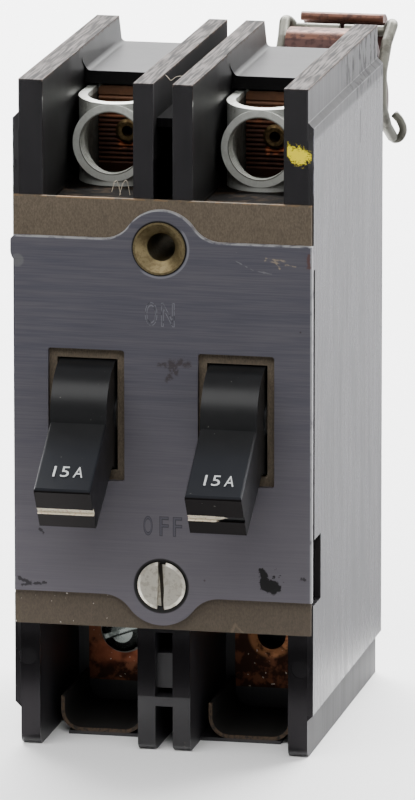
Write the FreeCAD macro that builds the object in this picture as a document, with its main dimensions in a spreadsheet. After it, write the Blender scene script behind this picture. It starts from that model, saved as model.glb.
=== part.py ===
import FreeCAD, Part
import math
import os
import re
import Sketcher

os.makedirs("parts", exist_ok=True)
doc = FreeCAD.newDocument("two_pole_circuit_breaker")

# Two pole moulded case circuit breaker. Front is -Y, top is +Z, all sizes in millimetres.
# Working frame: x = 0 between the poles, y = 0 at the front edge of the moulded walls,
# z = 0 a little above the floor. MIDDLE_Y and foot_drop move every piece so that the origin lies
# on the floor under the middle.

size_table = [
    ("case_width", 51.2, "two one inch poles and the raised middle zone"),
    ("case_height", 113.7, "tips of the fins above z = 0"),
    ("foot_drop", 0.6, "feet below z = 0"),
    ("case_depth", 61.0, "front edge to the mounting face"),
    ("side_step", 1.0, "the end zones are this much narrower on each side"),
    ("step_low", 6.9, "start of the wide zone"),
    ("step_high", 107.1, "end of the wide zone"),
    ("roof_height", 109.3, "roof between the fins"),
    ("roof_radius", 0.8, "rounding where the roof meets a fin"),
    ("roof_draft", 0.3, "the fins behind the lip are this much thicker at the roof"),
    ("fin_depth", 32.8, "front edge to the roof lip"),
    ("outer_fin", 4.1, "outer fin beside a line pocket"),
    ("inner_fin", 3.4, "inner fin beside a line pocket"),
    ("fin_gap", 3.3, "slit between the two poles"),
    ("gap_floor", 107.4, "floor of the slit between the poles"),
    ("gap_start", 3.0, "front edge of that floor"),
    ("gap_web", 1.5, "thickness of that floor over the open front"),
    ("shelf_height", 92.0, "floor of the line pockets"),
    ("shelf_thickness", 2.4, "shelf above the arc chamber"),
    ("recess_depth", 3.9, "recess behind each lug"),
    ("recess_half", 7.1, "half width of that recess"),
    ("outer_foot", 3.3, "outer foot"),
    ("inner_foot", 3.0, "inner foot"),
    ("foot_gap", 3.0, "slit between the inner feet"),
    ("load_roof", 20.6, "roof of the load pockets"),
    ("load_depth", 30.0, "depth of the load pockets"),
    ("floor_thickness", 0.6, "floor of the load pockets"),
    ("floor_start", 8.6, "front edge of that floor"),
    ("cavity_low", 23.0, "bottom of the mechanism space"),
    ("cavity_step", 74.0, "height where the space gets shallow"),
    ("cavity_depth", "=case_depth - 7", "depth of the mechanism space"),
    ("chamber_depth", 35.0, "depth of the arc chamber"),
    ("sheet_thickness", 0.8, "fibre sheet"),
    ("sheet_inset", 0.25, "sheet edge inside the case side"),
    ("sheet_low", 20.8, "lower edge of the sheet"),
    ("sheet_high", 94.2, "upper edge of the sheet"),
    ("plate_thickness", 1.0, "metal faceplate"),
    ("plate_left", 25.2, "left edge of the plate"),
    ("plate_right", 25.7, "right edge of the plate"),
    ("ear_reach", 0.5, "bent ear at the upper left corner"),
    ("plate_low", 26.7, "lower edge of the plate"),
    ("plate_high", 87.5, "upper edge of the plate"),
    ("lobe_radius", 6.8, "round lobes of the plate"),
    ("lobe_blend", 5.5, "blend from lobe to edge"),
    ("upper_lobe", 85.9, "middle of the upper lobe"),
    ("eyelet_height", 86.2, "height of the mounting eyelet"),
    ("eyelet_side", 0.25, "the eyelet sits this much to the left"),
    ("eyelet_bore", 2.4, "radius of the mounting hole"),
    ("screw_height", 28.5, "height of the faceplate screw"),
    ("window_width", 13.0, "plate window"),
    ("window_height", 22.4, "plate window"),
    ("opening_width", 10.3, "window of the fibre sheet"),
    ("opening_height", 19.0, "window of the fibre sheet"),
    ("pivot_depth", 1.05, "handle pin behind the front edge"),
    ("pivot_height", 57.4, "handle pin above the feet"),
    ("pin_radius", 1.0, "pins of the mechanism"),
    ("pin_play", 0.04, "play of a turning piece on its pin"),
    ("handle_width", 9.6, "handle across"),
    ("handle_length", 23.2, "pin to the nose of the handle"),
    ("hub_radius", 9.3, "round root of the handle"),
    ("root_half", 5.2, "half thickness at the root"),
    ("nose_half", 4.5, "half thickness at the nose"),
    ("handle_throw", 66.0, "travel of a handle in degrees"),
    ("stripe_width", 1.2, "groove of the cream stripe"),
    ("stripe_depth", 0.35, "groove of the cream stripe"),
    ("yoke_reach", 12.0, "pin to the spring hole"),
    ("yoke_thickness", 1.2, "steel yoke"),
    ("arm_depth", 20.0, "arm pin behind the front edge"),
    ("arm_height", "=pivot_height", "arm pin above the feet"),
    ("arm_throw", 16.0, "travel of a contact arm in degrees"),
    ("arm_width", 5.0, "contact arm across"),
    ("arm_slot", 3.2, "slot for the spring"),
    ("crank_reach", 10.0, "arm pin to the spring pin"),
    ("frame_half", 7.7, "half width of the steel frame"),
    ("frame_sheet", 1.2, "steel of the frame"),
    ("lever_depth", 47.0, "lever pin"),
    ("lever_height", 40.0, "lever pin"),
    ("bar_depth", 44.0, "trip bar"),
    ("bar_height", 63.0, "trip bar"),
    ("bar_radius", 2.2, "trip bar"),
    ("strap_front", 33.5, "front face of the line strap"),
    ("strap_thickness", 1.5, "line strap"),
    ("strap_width", 10.2, "line strap"),
    ("strap_high", 106.7, "upper end of the line strap"),
    ("rivet_height", 99.0, "rivet of the line strap"),
    ("rivet_radius", 1.6, "shank of the rivet"),
    ("lug_depth", 27.0, "middle of the lug"),
    ("lug_radius", 6.9, "outside of the lug shell"),
    ("lug_wall", 1.5, "sheet of the lug"),
    ("lug_high", 106.6, "upper rim of the lug"),
    ("lug_dip", 0.6, "the rim is this much lower in front"),
    ("line_shift", 0.45, "lug, strap and rivet sit this much to the left of their pole"),
    ("boss_height", 99.4, "middle of the threaded boss"),
    ("boss_radius", 6.6, "threaded boss outside"),
    ("boss_bore", 5.3, "threaded boss inside"),
    ("boss_front", 20.0, "front face of the boss"),
    ("load_front", 28.4, "front face of the load strap"),
    ("load_thickness", 1.6, "load strap"),
    ("load_width", 12.7, "load strap"),
    ("load_low", 4.1, "lower end of the load strap"),
    ("terminal_height", 13.3, "load screw above the feet"),
    ("terminal_radius", 2.45, "threaded hole of the load strap"),
    ("liner_thickness", 0.6, "fibre liner"),
    ("liner_half", 7.2, "half width of the liner"),
    ("liner_high", 6.0, "upper edge of the liner"),
    ("liner_side", 0.35, "the liner sits this much to the right"),
    ("blade_thickness", 1.5, "jaw blade"),
    ("blade_width", 14.7, "jaw blade"),
    ("blade_side", 1.0, "the jaw blades sit this much to the left of their roots"),
    ("root_width", 7.4, "jaw blade inside the case"),
    ("jaw_height", 98.8, "middle of the jaw"),
    ("curl_radius", 3.9, "rolled end of a jaw blade"),
    ("wire_radius", 0.95, "spring wire of the jaw"),
]

sheet = doc.addObject("Spreadsheet::Sheet", "sizes")
for row, (name, value, note) in enumerate(size_table, start=1):
    sheet.set("A%d" % row, name)
    sheet.set("B%d" % row, str(value))
    sheet.set("C%d" % row, note)
    sheet.setAlias("B%d" % row, name)
doc.recompute()

# Derived sizes, written as expressions of the sheet.
SIDE = "(case_width/2 - side_step)"
BAY_HALF = "((case_width/2 - side_step - outer_fin - inner_fin - fin_gap/2)/2)"
POLE = "(fin_gap/2 + inner_fin + " + BAY_HALF + ")"
HALF_THROW = "(handle_throw/2)"
FRONT_REACH = ("(handle_length*cos(handle_throw/2*1deg) + nose_half*sin(handle_throw/2*1deg)"
               " - pivot_depth)")
JAW_TIP = "(case_depth + 38.8)"
MIDDLE_Y = "((" + JAW_TIP + " + blade_thickness/2 - " + FRONT_REACH + ")/2)"
FLOOR = "(floor_thickness - foot_drop)"
POCKET_IN = "(foot_gap/2 + inner_foot)"
POCKET_OUT = "(" + SIDE + " - outer_foot)"
SPRING_Y1 = "(pivot_depth + yoke_reach*cos(handle_throw/2*1deg))"
SPRING_Z1 = "(pivot_height + yoke_reach*sin(handle_throw/2*1deg))"
SPRING_Y2 = "(arm_depth + crank_reach*cos(arm_throw*1deg))"
SPRING_Z2 = "(arm_height + crank_reach*sin(arm_throw*1deg))"

nodes = {}


def linked(text):
    return re.sub(r"\b([a-z]+_\w+)\b", r"sizes.\1", text)


def worth(text):
    return float(sheet.evalExpression(linked(text)))


def minus(text):
    return "-(" + text + ")"


def place(thing, x, y, z):
    thing.setExpression("Placement.Base.x", linked(x))
    thing.setExpression("Placement.Base.y", linked(y + " - " + MIDDLE_Y))
    thing.setExpression("Placement.Base.z", linked(z + " + foot_drop"))


def start_body(name, x="0", y="0", z="0", tilt=None):
    body = doc.addObject("PartDesign::Body", name)
    body.Label = name
    if tilt:
        turn = FreeCAD.Rotation(FreeCAD.Vector(1, 0, 0), worth(tilt))
        body.Placement = FreeCAD.Placement(FreeCAD.Vector(), turn)
        body.setExpression("Placement.Rotation.Angle", linked(tilt))
    place(body, x, y, z)
    nodes[name] = body
    return body


def start_sketch(body, plane, at="0"):
    sketch = body.newObject("Sketcher::SketchObject", body.Name + "_sketch")
    base = [f for f in body.Origin.OriginFeatures if f.Role == plane + "_Plane"][0]
    sketch.AttachmentSupport = [(base, "")]
    sketch.MapMode = "FlatFace"
    sign = "-" if plane == "XZ" else ""
    sketch.setExpression("AttachmentOffset.Base.z", linked(sign + "(" + at + ")"))
    return sketch


def pin_down(sketch, kind, geometry, point, text):
    number = sketch.addConstraint(Sketcher.Constraint(kind, -1, 1, geometry, point, worth(text)))
    sketch.setExpression("Constraints[%d]" % number, linked(text))


def outline(sketch, corners, closed=True):
    """Straight lines through the corners; a corner with a third entry is rounded by it."""
    spots = [FreeCAD.Vector(worth(c[0]), worth(c[1]), 0) for c in corners]
    count = len(corners)
    starts = list(spots)
    ends = list(spots)
    arcs = {}
    for i, corner in enumerate(corners):
        if len(corner) < 3:
            continue
        before = (spots[i - 1] - spots[i]).normalize()
        after = (spots[(i + 1) % count] - spots[i]).normalize()
        angle = before.getAngle(after)
        radius = worth(corner[2])
        reach = radius / math.tan(angle / 2)
        middle = spots[i] + (before + after).normalize() * (radius / math.sin(angle / 2))
        ends[i] = spots[i] + before * reach
        starts[i] = spots[i] + after * reach
        a0 = math.atan2(ends[i].y - middle.y, ends[i].x - middle.x)
        a1 = math.atan2(starts[i].y - middle.y, starts[i].x - middle.x)
        turn = (a1 - a0 + math.pi) % (2 * math.pi) - math.pi
        circle = Part.Circle(middle, FreeCAD.Vector(0, 0, 1), radius)
        if turn > 0:
            arcs[i] = (Part.ArcOfCircle(circle, a0, a0 + turn), 1, 2)
        else:
            arcs[i] = (Part.ArcOfCircle(circle, a1, a1 - turn), 2, 1)
    lines = []
    for i in range(count if closed else count - 1):
        far = (i + 1) % count
        lines.append(sketch.addGeometry(Part.LineSegment(starts[i], ends[far]), False))
    for i, corner in enumerate(corners):
        first_line = lines[i - 1] if (closed or i > 0) else None
        next_line = lines[i] if i < len(lines) else None
        if i not in arcs:
            if first_line is not None and next_line is not None:
                sketch.addConstraint(Sketcher.Constraint("Coincident", first_line, 2, next_line, 1))
            line, point = (next_line, 1) if next_line is not None else (first_line, 2)
            pin_down(sketch, "DistanceX", line, point, corner[0])
            pin_down(sketch, "DistanceY", line, point, corner[1])
            continue
        shape, first, last = arcs[i]
        arc = sketch.addGeometry(shape, False)
        knot = sketch.addGeometry(Part.Point(spots[i]), True)
        sketch.addConstraint(Sketcher.Constraint("Tangent", first_line, 2, arc, first))
        sketch.addConstraint(Sketcher.Constraint("Tangent", arc, last, next_line, 1))
        sketch.addConstraint(Sketcher.Constraint("PointOnObject", knot, 1, first_line))
        sketch.addConstraint(Sketcher.Constraint("PointOnObject", knot, 1, next_line))
        pin_down(sketch, "DistanceX", knot, 1, corner[0])
        pin_down(sketch, "DistanceY", knot, 1, corner[1])
        number = sketch.addConstraint(Sketcher.Constraint("Radius", arc, worth(corner[2])))
        sketch.setExpression("Constraints[%d]" % number, linked(corner[2]))
    return sketch


def rectangle(sketch, x0, y0, x1, y1):
    return outline(sketch, [(x0, y0), (x1, y0), (x1, y1), (x0, y1)])


def circle(sketch, x, y, radius):
    middle = FreeCAD.Vector(worth(x), worth(y), 0)
    ring = sketch.addGeometry(Part.Circle(middle, FreeCAD.Vector(0, 0, 1), worth(radius)), False)
    pin_down(sketch, "DistanceX", ring, 3, x)
    pin_down(sketch, "DistanceY", ring, 3, y)
    number = sketch.addConstraint(Sketcher.Constraint("Radius", ring, worth(radius)))
    sketch.setExpression("Constraints[%d]" % number, linked(radius))
    return sketch


def sweep_straight(kind, body, sketch, length, way):
    """way 1 goes towards the growing coordinate, -1 the other way, 0 to both sides."""
    feature = body.newObject("PartDesign::" + kind, body.Name + "_" + kind.lower())
    feature.Profile = sketch
    feature.setExpression("Length", linked(length))
    plane = sketch.AttachmentSupport[0][0].Role
    along_normal = (way > 0) != (plane == "XZ_Plane")
    if way == 0:
        feature.SideType = "Symmetric"
    elif kind == "Pad":
        feature.Reversed = not along_normal
    else:
        feature.Reversed = along_normal
    sketch.Visibility = False
    return feature


def pad(body, sketch, length, way=1):
    return sweep_straight("Pad", body, sketch, length, way)


def pocket(body, sketch, length, way=1):
    return sweep_straight("Pocket", body, sketch, length, way)


def revolve(body, corners, plane="YZ"):
    """Turns a half profile, drawn as (along Y, radius), about the body's Y axis."""
    sketch = outline(start_sketch(body, plane), corners)
    feature = body.newObject("PartDesign::Revolution", body.Name + "_turned")
    feature.Profile = sketch
    feature.ReferenceAxis = (sketch, ["H_Axis"])
    feature.Angle = 360
    sketch.Visibility = False
    return feature


def soften(body, kind, size, chosen):
    """Rounds or bevels the edges that the test picks by their middle and direction."""
    doc.recompute()
    names = []
    for number, edge in enumerate(body.Tip.Shape.Edges, start=1):
        middle = edge.valueAt((edge.FirstParameter + edge.LastParameter) / 2)
        first = edge.valueAt(edge.FirstParameter)
        last = edge.valueAt(edge.LastParameter)
        if chosen(middle, last - first, edge):
            names.append("Edge%d" % number)
    base = body.Tip
    feature = body.newObject("PartDesign::" + kind, body.Name + "_" + kind.lower())
    feature.Base = (base, names)
    feature.setExpression("Radius" if kind == "Fillet" else "Size", linked(size))
    base.Visibility = False
    return feature


def rod(name, radius, length, x, y, z, axis="X"):
    """A plain round pin that starts at the given place and runs along +X or +Y."""
    pin = doc.addObject("Part::Cylinder", name)
    pin.Label = name
    turn = FreeCAD.Rotation(FreeCAD.Vector(0, 1, 0), 90)
    if axis == "Y":
        turn = FreeCAD.Rotation(FreeCAD.Vector(1, 0, 0), -90)
    pin.Placement = FreeCAD.Placement(FreeCAD.Vector(), turn)
    pin.setExpression("Radius", linked(radius))
    pin.setExpression("Height", linked(length))
    place(pin, x, y, z)
    return pin


def group(name, members):
    bundle = doc.addObject("Part::Compound", name)
    bundle.Label = name
    bundle.Links = members
    for member in members:
        nodes.pop(member.Name, None)
    nodes[name] = bundle
    return bundle


def bent_wire(points, radius, bend):
    """A round wire along straight runs with equal bends."""
    spots = [FreeCAD.Vector(*p) for p in points]
    pieces = []
    start = spots[0]
    for i in range(1, len(spots) - 1):
        before = (spots[i - 1] - spots[i]).normalize()
        after = (spots[i + 1] - spots[i]).normalize()
        angle = before.getAngle(after)
        if angle > math.pi - 0.02:
            continue
        reach = bend / math.tan(angle / 2)
        middle = spots[i] + (before + after).normalize() * (bend / math.sin(angle / 2))
        inner = middle + (spots[i] - middle).normalize() * bend
        pieces.append(Part.LineSegment(start, spots[i] + before * reach).toShape())
        arc = Part.Arc(spots[i] + before * reach, inner, spots[i] + after * reach)
        pieces.append(arc.toShape())
        start = spots[i] + after * reach
    pieces.append(Part.LineSegment(start, spots[-1]).toShape())
    line = Part.Wire(pieces)
    rim = Part.Wire(Part.makeCircle(radius, spots[0], spots[1] - spots[0]))
    return line.makePipeShell([rim], True, True)


# Moulded case: one block, stepped on both sides, then hollowed.
case = start_body("case")
front = start_sketch(case, "XZ")
HALF = "(case_width/2)"
right_side = [(SIDE, "-foot_drop"), (SIDE, "step_low - side_step"), (HALF, "step_low"),
              (HALF, "step_high"), (SIDE, "step_high + side_step"), (SIDE, "case_height")]
left_side = [(minus(x), z) for x, z in reversed(right_side)]
outline(front, right_side + left_side)
pad(case, front, "case_depth")

sides = {"left": "-", "right": ""}
for side, sign in sides.items():
    middle = sign + POLE
    low = middle + " - " + BAY_HALF
    high = middle + " + " + BAY_HALF
    cut = start_sketch(case, "YZ", middle)
    outline(cut, [("-1", "shelf_height"), ("fin_depth", "shelf_height"),
                  ("fin_depth", "roof_height + 0.4"), ("fin_depth - 2.2", "roof_height + 1.9", "0.8"),
                  ("fin_depth - 2.2", "roof_height + 2.9", "0.8"), ("fin_depth - 4.5", "case_height"),
                  ("fin_depth - 4.5", "case_height + 1"), ("-1", "case_height + 1")])
    pocket(case, cut, "2*" + BAY_HALF, 0)
    cut = start_sketch(case, "XZ", "fin_depth - 4.5")
    outline(cut, [(low + " + roof_draft", "roof_height", "roof_radius"),
                  (high + " - roof_draft", "roof_height", "roof_radius"),
                  (high + " + roof_draft", "case_height + 1"),
                  (low + " - roof_draft", "case_height + 1")])
    pocket(case, cut, "case_depth")
    cut = start_sketch(case, "XZ", "fin_depth - 0.1")
    rectangle(cut, middle + " - line_shift - recess_half", "shelf_height",
              middle + " - line_shift + recess_half", "step_high")
    pocket(case, cut, "recess_depth + 0.1")
    cut = start_sketch(case, "XZ")
    rectangle(cut, low, "cavity_low", high, "cavity_step")
    pocket(case, cut, "cavity_depth")
    cut = start_sketch(case, "XZ")
    rectangle(cut, low, "cavity_step - 1", high, "shelf_height - shelf_thickness")
    pocket(case, cut, "chamber_depth")
    cut = start_sketch(case, "XY", "shelf_height + 0.5")
    rectangle(cut, middle + " - line_shift - strap_width/2 - 0.05", "strap_front - 0.05",
              middle + " - line_shift + strap_width/2 + 0.05", "strap_front + strap_thickness")
    pocket(case, cut, "shelf_thickness + 1", -1)
    edge_a = POCKET_IN if side == "right" else minus(POCKET_OUT)
    edge_b = POCKET_OUT if side == "right" else minus(POCKET_IN)
    cut = start_sketch(case, "XZ")
    rectangle(cut, edge_a, FLOOR, edge_b, "load_roof")
    pocket(case, cut, "load_depth")
    cut = start_sketch(case, "XZ")
    rectangle(cut, edge_a, "-foot_drop - 1", edge_b, FLOOR + " + 1")
    pocket(case, cut, "floor_start")
    corner_in = POCKET_OUT + " - 3" if side == "right" else minus(POCKET_OUT)
    corner_out = POCKET_OUT if side == "right" else minus(POCKET_OUT + " - 3")
    cut = start_sketch(case, "XZ")
    rectangle(cut, corner_in, "-foot_drop - 1", corner_out, FLOOR + " + 1")
    pocket(case, cut, "2*floor_start")
    cut = start_sketch(case, "XY", "load_roof - 0.5")
    rectangle(cut, middle + " - load_width/2 - 0.1", "load_front - 0.1",
              middle + " + load_width/2 + 0.1", "load_depth")
    pocket(case, cut, "cavity_low - load_roof + 1", 1)
    cut = start_sketch(case, "XZ", "load_depth - 0.5")
    circle(cut, middle, "terminal_height", "terminal_radius + 0.5")
    pocket(case, cut, "6.5")
    cut = start_sketch(case, "XZ", "cavity_depth - 0.5")
    circle(cut, middle, "33", "1.6")
    circle(cut, middle, "39", "1.5")
    circle(cut, middle, "66", "1.5")
    pocket(case, cut, "case_depth - cavity_depth + 1")
    cut = start_sketch(case, "XZ", "case_depth - 2.2")
    circle(cut, middle, "39", "2.8")
    circle(cut, middle, "66", "2.8")
    pocket(case, cut, "3")
    wall_in = HALF + " - 1" if side == "right" else minus(HALF + " + 1")
    wall_out = HALF + " + 1" if side == "right" else minus(HALF + " - 1")
    cut = start_sketch(case, "XZ")
    rectangle(cut, wall_in, "sheet_low + 5.5", wall_out, "sheet_high - 11")
    pocket(case, cut, "1")
    notch_in = HALF + " - 1.5" if side == "right" else minus(HALF + " + 1")
    notch_out = HALF + " + 1" if side == "right" else minus(HALF + " - 1.5")
    cut = start_sketch(case, "XZ")
    rectangle(cut, notch_in, "25.8", notch_out, "37")
    pocket(case, cut, "6.4")

# Jaw terminal of the right pole: room for the two flanges and a slot for each root.
cut = start_sketch(case, "XZ", "fin_depth + recess_depth - 0.1")
rectangle(cut, POLE + " - root_width/2 - 0.2", "shelf_height",
          POLE + " + root_width/2 + 0.2", "jaw_height + 7.2")
pocket(case, cut, "2.2")
cut = start_sketch(case, "XZ", "fin_depth + recess_depth + 1.9")
for middle_z in ("jaw_height + 5.6", "jaw_height - 5.6"):
    rectangle(cut, POLE + " - root_width/2 - 0.2", middle_z + " - blade_thickness/2 - 0.1",
              POLE + " + root_width/2 + 0.2", middle_z + " + blade_thickness/2 + 0.1")
pocket(case, cut, "case_depth")

# Slit between the poles, above and below.
cut = start_sketch(case, "XZ")
rectangle(cut, "-fin_gap/2", "gap_floor", "fin_gap/2", "case_height + 1")
pocket(case, cut, "case_depth + 1")
cut = start_sketch(case, "XZ")
rectangle(cut, "-fin_gap/2", "shelf_height", "fin_gap/2", "gap_floor + 1")
pocket(case, cut, "gap_start")
cut = start_sketch(case, "XZ")
rectangle(cut, "-fin_gap/2", "shelf_height", "fin_gap/2", "gap_floor - gap_web")
pocket(case, cut, "fin_depth")
cut = start_sketch(case, "XZ")
rectangle(cut, "-foot_gap/2", "-foot_drop - 1", "foot_gap/2", "7.2")
rectangle(cut, "-foot_gap/2", "8.8", "foot_gap/2", "10")
rectangle(cut, "-foot_gap/2", "16", "foot_gap/2", "load_roof - 0.6")
pocket(case, cut, "load_depth")
cut = start_sketch(case, "XZ")
rectangle(cut, "-foot_gap/2", "9.5", "foot_gap/2", "16.5")
pocket(case, cut, "2")

# Bore of the eyelet, seat of the brass insert and the hole of the trip bar.
cut = start_sketch(case, "XZ")
circle(cut, "-eyelet_side", "eyelet_height", "eyelet_bore + 0.6")
pocket(case, cut, "case_depth + 1")
cut = start_sketch(case, "XZ")
circle(cut, "0", "screw_height", "3.2")
pocket(case, cut, "12")
cut = start_sketch(case, "YZ")
circle(cut, "bar_depth", "bar_height", "bar_radius + 0.05")
pocket(case, cut, "2*(inner_fin + fin_gap/2) + 1", 0)


def at_front_foot(middle, chord, edge):
    low_edge = abs(middle.z + worth("foot_drop")) < 0.01 and abs(chord.y) < 0.01
    return abs(middle.y) < 0.01 and low_edge


soften(case, "Fillet", "2", at_front_foot)

# Shallow marks of the mould: the inner feet step back a little, each outer foot has a round pin mark.
cut = start_sketch(case, "XZ")
rectangle(cut, minus(POCKET_IN + " + 0.05"), "-foot_drop - 1", POCKET_IN + " + 0.05", "8.9")
pocket(case, cut, "0.2")
cut = start_sketch(case, "XZ")
circle(cut, minus("(" + HALF + " + " + POCKET_OUT + ")/2"), "14.8", "1.55")
circle(cut, "(" + HALF + " + " + POCKET_OUT + ")/2", "14.8", "1.55")
pocket(case, cut, "0.12")

# Fibre sheet behind the metal plate.
fibre = start_body("fibre_sheet")
cut = start_sketch(fibre, "XZ", "-sheet_thickness")
rectangle(cut, minus(HALF + " - sheet_inset"), "sheet_low", HALF + " - sheet_inset", "sheet_high")
pad(fibre, cut, "sheet_thickness")
cut = start_sketch(fibre, "XZ", "-sheet_thickness - 0.1")
for sign in sides.values():
    rectangle(cut, sign + POLE + " - opening_width/2", "pivot_height - opening_height/2",
              sign + POLE + " + opening_width/2", "pivot_height + opening_height/2")
circle(cut, "-eyelet_side", "eyelet_height", "eyelet_bore + 1.2")
circle(cut, "0", "screw_height", "3.3")
pocket(fibre, cut, "sheet_thickness + 0.2")

# Metal faceplate with its two round lobes.
plate = start_body("faceplate")
PLATE_FRONT = "(-sheet_thickness - plate_thickness)"
cut = start_sketch(plate, "XZ", PLATE_FRONT)
rectangle(cut, "-plate_left", "plate_low", "plate_right", "plate_high")
pad(plate, cut, "plate_thickness")
cut = start_sketch(plate, "XZ", PLATE_FRONT)
outline(cut, [("-plate_left + 2", "plate_high - 4.5"), ("-plate_left", "plate_high - 4.5", "1.5"),
              ("-plate_left - ear_reach", "plate_high - 2.9", "1.5"),
              ("-plate_left - ear_reach", "plate_high - 0.4", "0.8"), ("-plate_left + 0.3", "plate_high"),
              ("-plate_left + 2", "plate_high")])
pad(plate, cut, "plate_thickness")
for height in ("upper_lobe", "screw_height"):
    cut = start_sketch(plate, "XZ", PLATE_FRONT)
    circle(cut, "0", height, "lobe_radius")
    pad(plate, cut, "plate_thickness")


def at_lobe(middle, chord, edge):
    upright = abs(chord.x) < 0.01 and abs(chord.z) < 0.01 and abs(chord.y) > 0.1
    return upright and abs(middle.x) < worth("lobe_radius") + 0.1 and len(edge.Vertexes) == 2


soften(plate, "Fillet", "lobe_blend", at_lobe)
cut = start_sketch(plate, "XZ", PLATE_FRONT + " - 0.1")
for sign in sides.values():
    low_x = sign + POLE + " - window_width/2"
    high_x = sign + POLE + " + window_width/2"
    low_z = "pivot_height - window_height/2"
    high_z = "pivot_height + window_height/2"
    outline(cut, [(low_x, low_z, "0.5"), (high_x, low_z, "0.5"),
                  (high_x, high_z, "0.5"), (low_x, high_z, "0.5")])
circle(cut, "-eyelet_side", "eyelet_height", "3.6")
circle(cut, "0", "screw_height", "3.6")
pocket(plate, cut, "plate_thickness + 0.2")


def at_plate_hole(middle, chord, edge):
    if not hasattr(edge.Curve, "Radius") or abs(edge.Curve.Radius - 3.6) > 0.01:
        return False
    return abs(middle.y - worth(PLATE_FRONT)) < 0.01


soften(plate, "Chamfer", "0.95", at_plate_hole)

# Brass eyelet: flared at the front, a tube through the whole case.
eyelet = start_body("mounting_eyelet", "-eyelet_side", "0", "eyelet_height")
TUBE = "(eyelet_bore + 0.55)"
revolve(eyelet, [("-2.05", "4.1"), ("-2.05", "4.45"), ("-1.85", "4.45"), ("2.6 - " + TUBE, TUBE),
                 ("case_depth", TUBE), ("case_depth", "eyelet_bore"), ("2.05 - eyelet_bore", "eyelet_bore")])

screw = start_body("faceplate_screw", "0", "0", "screw_height")
revolve(screw, [("-2.05", "0"), ("-1.95", "3.6"), ("-1.7", "4.1"), ("-1.55", "4.1"), ("0.6", "1.7"),
                ("10", "1.7"), ("11", "0.9"), ("11", "0")])
cut = start_sketch(screw, "XZ", "-2.2")
outline(cut, [("-0.55 - 0.25", "-4.4"), ("0.55 - 0.25", "-4.4"), ("0.55 + 0.25", "4.4"),
              ("-0.55 + 0.25", "4.4")])
pocket(screw, cut, "1.1")

insert = start_body("screw_insert", "0", "0", "screw_height")
revolve(insert, [("0", "3.15"), ("12", "3.15"), ("12", "1.75"), ("0.8", "1.75"), ("0", "2.5")])

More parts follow.
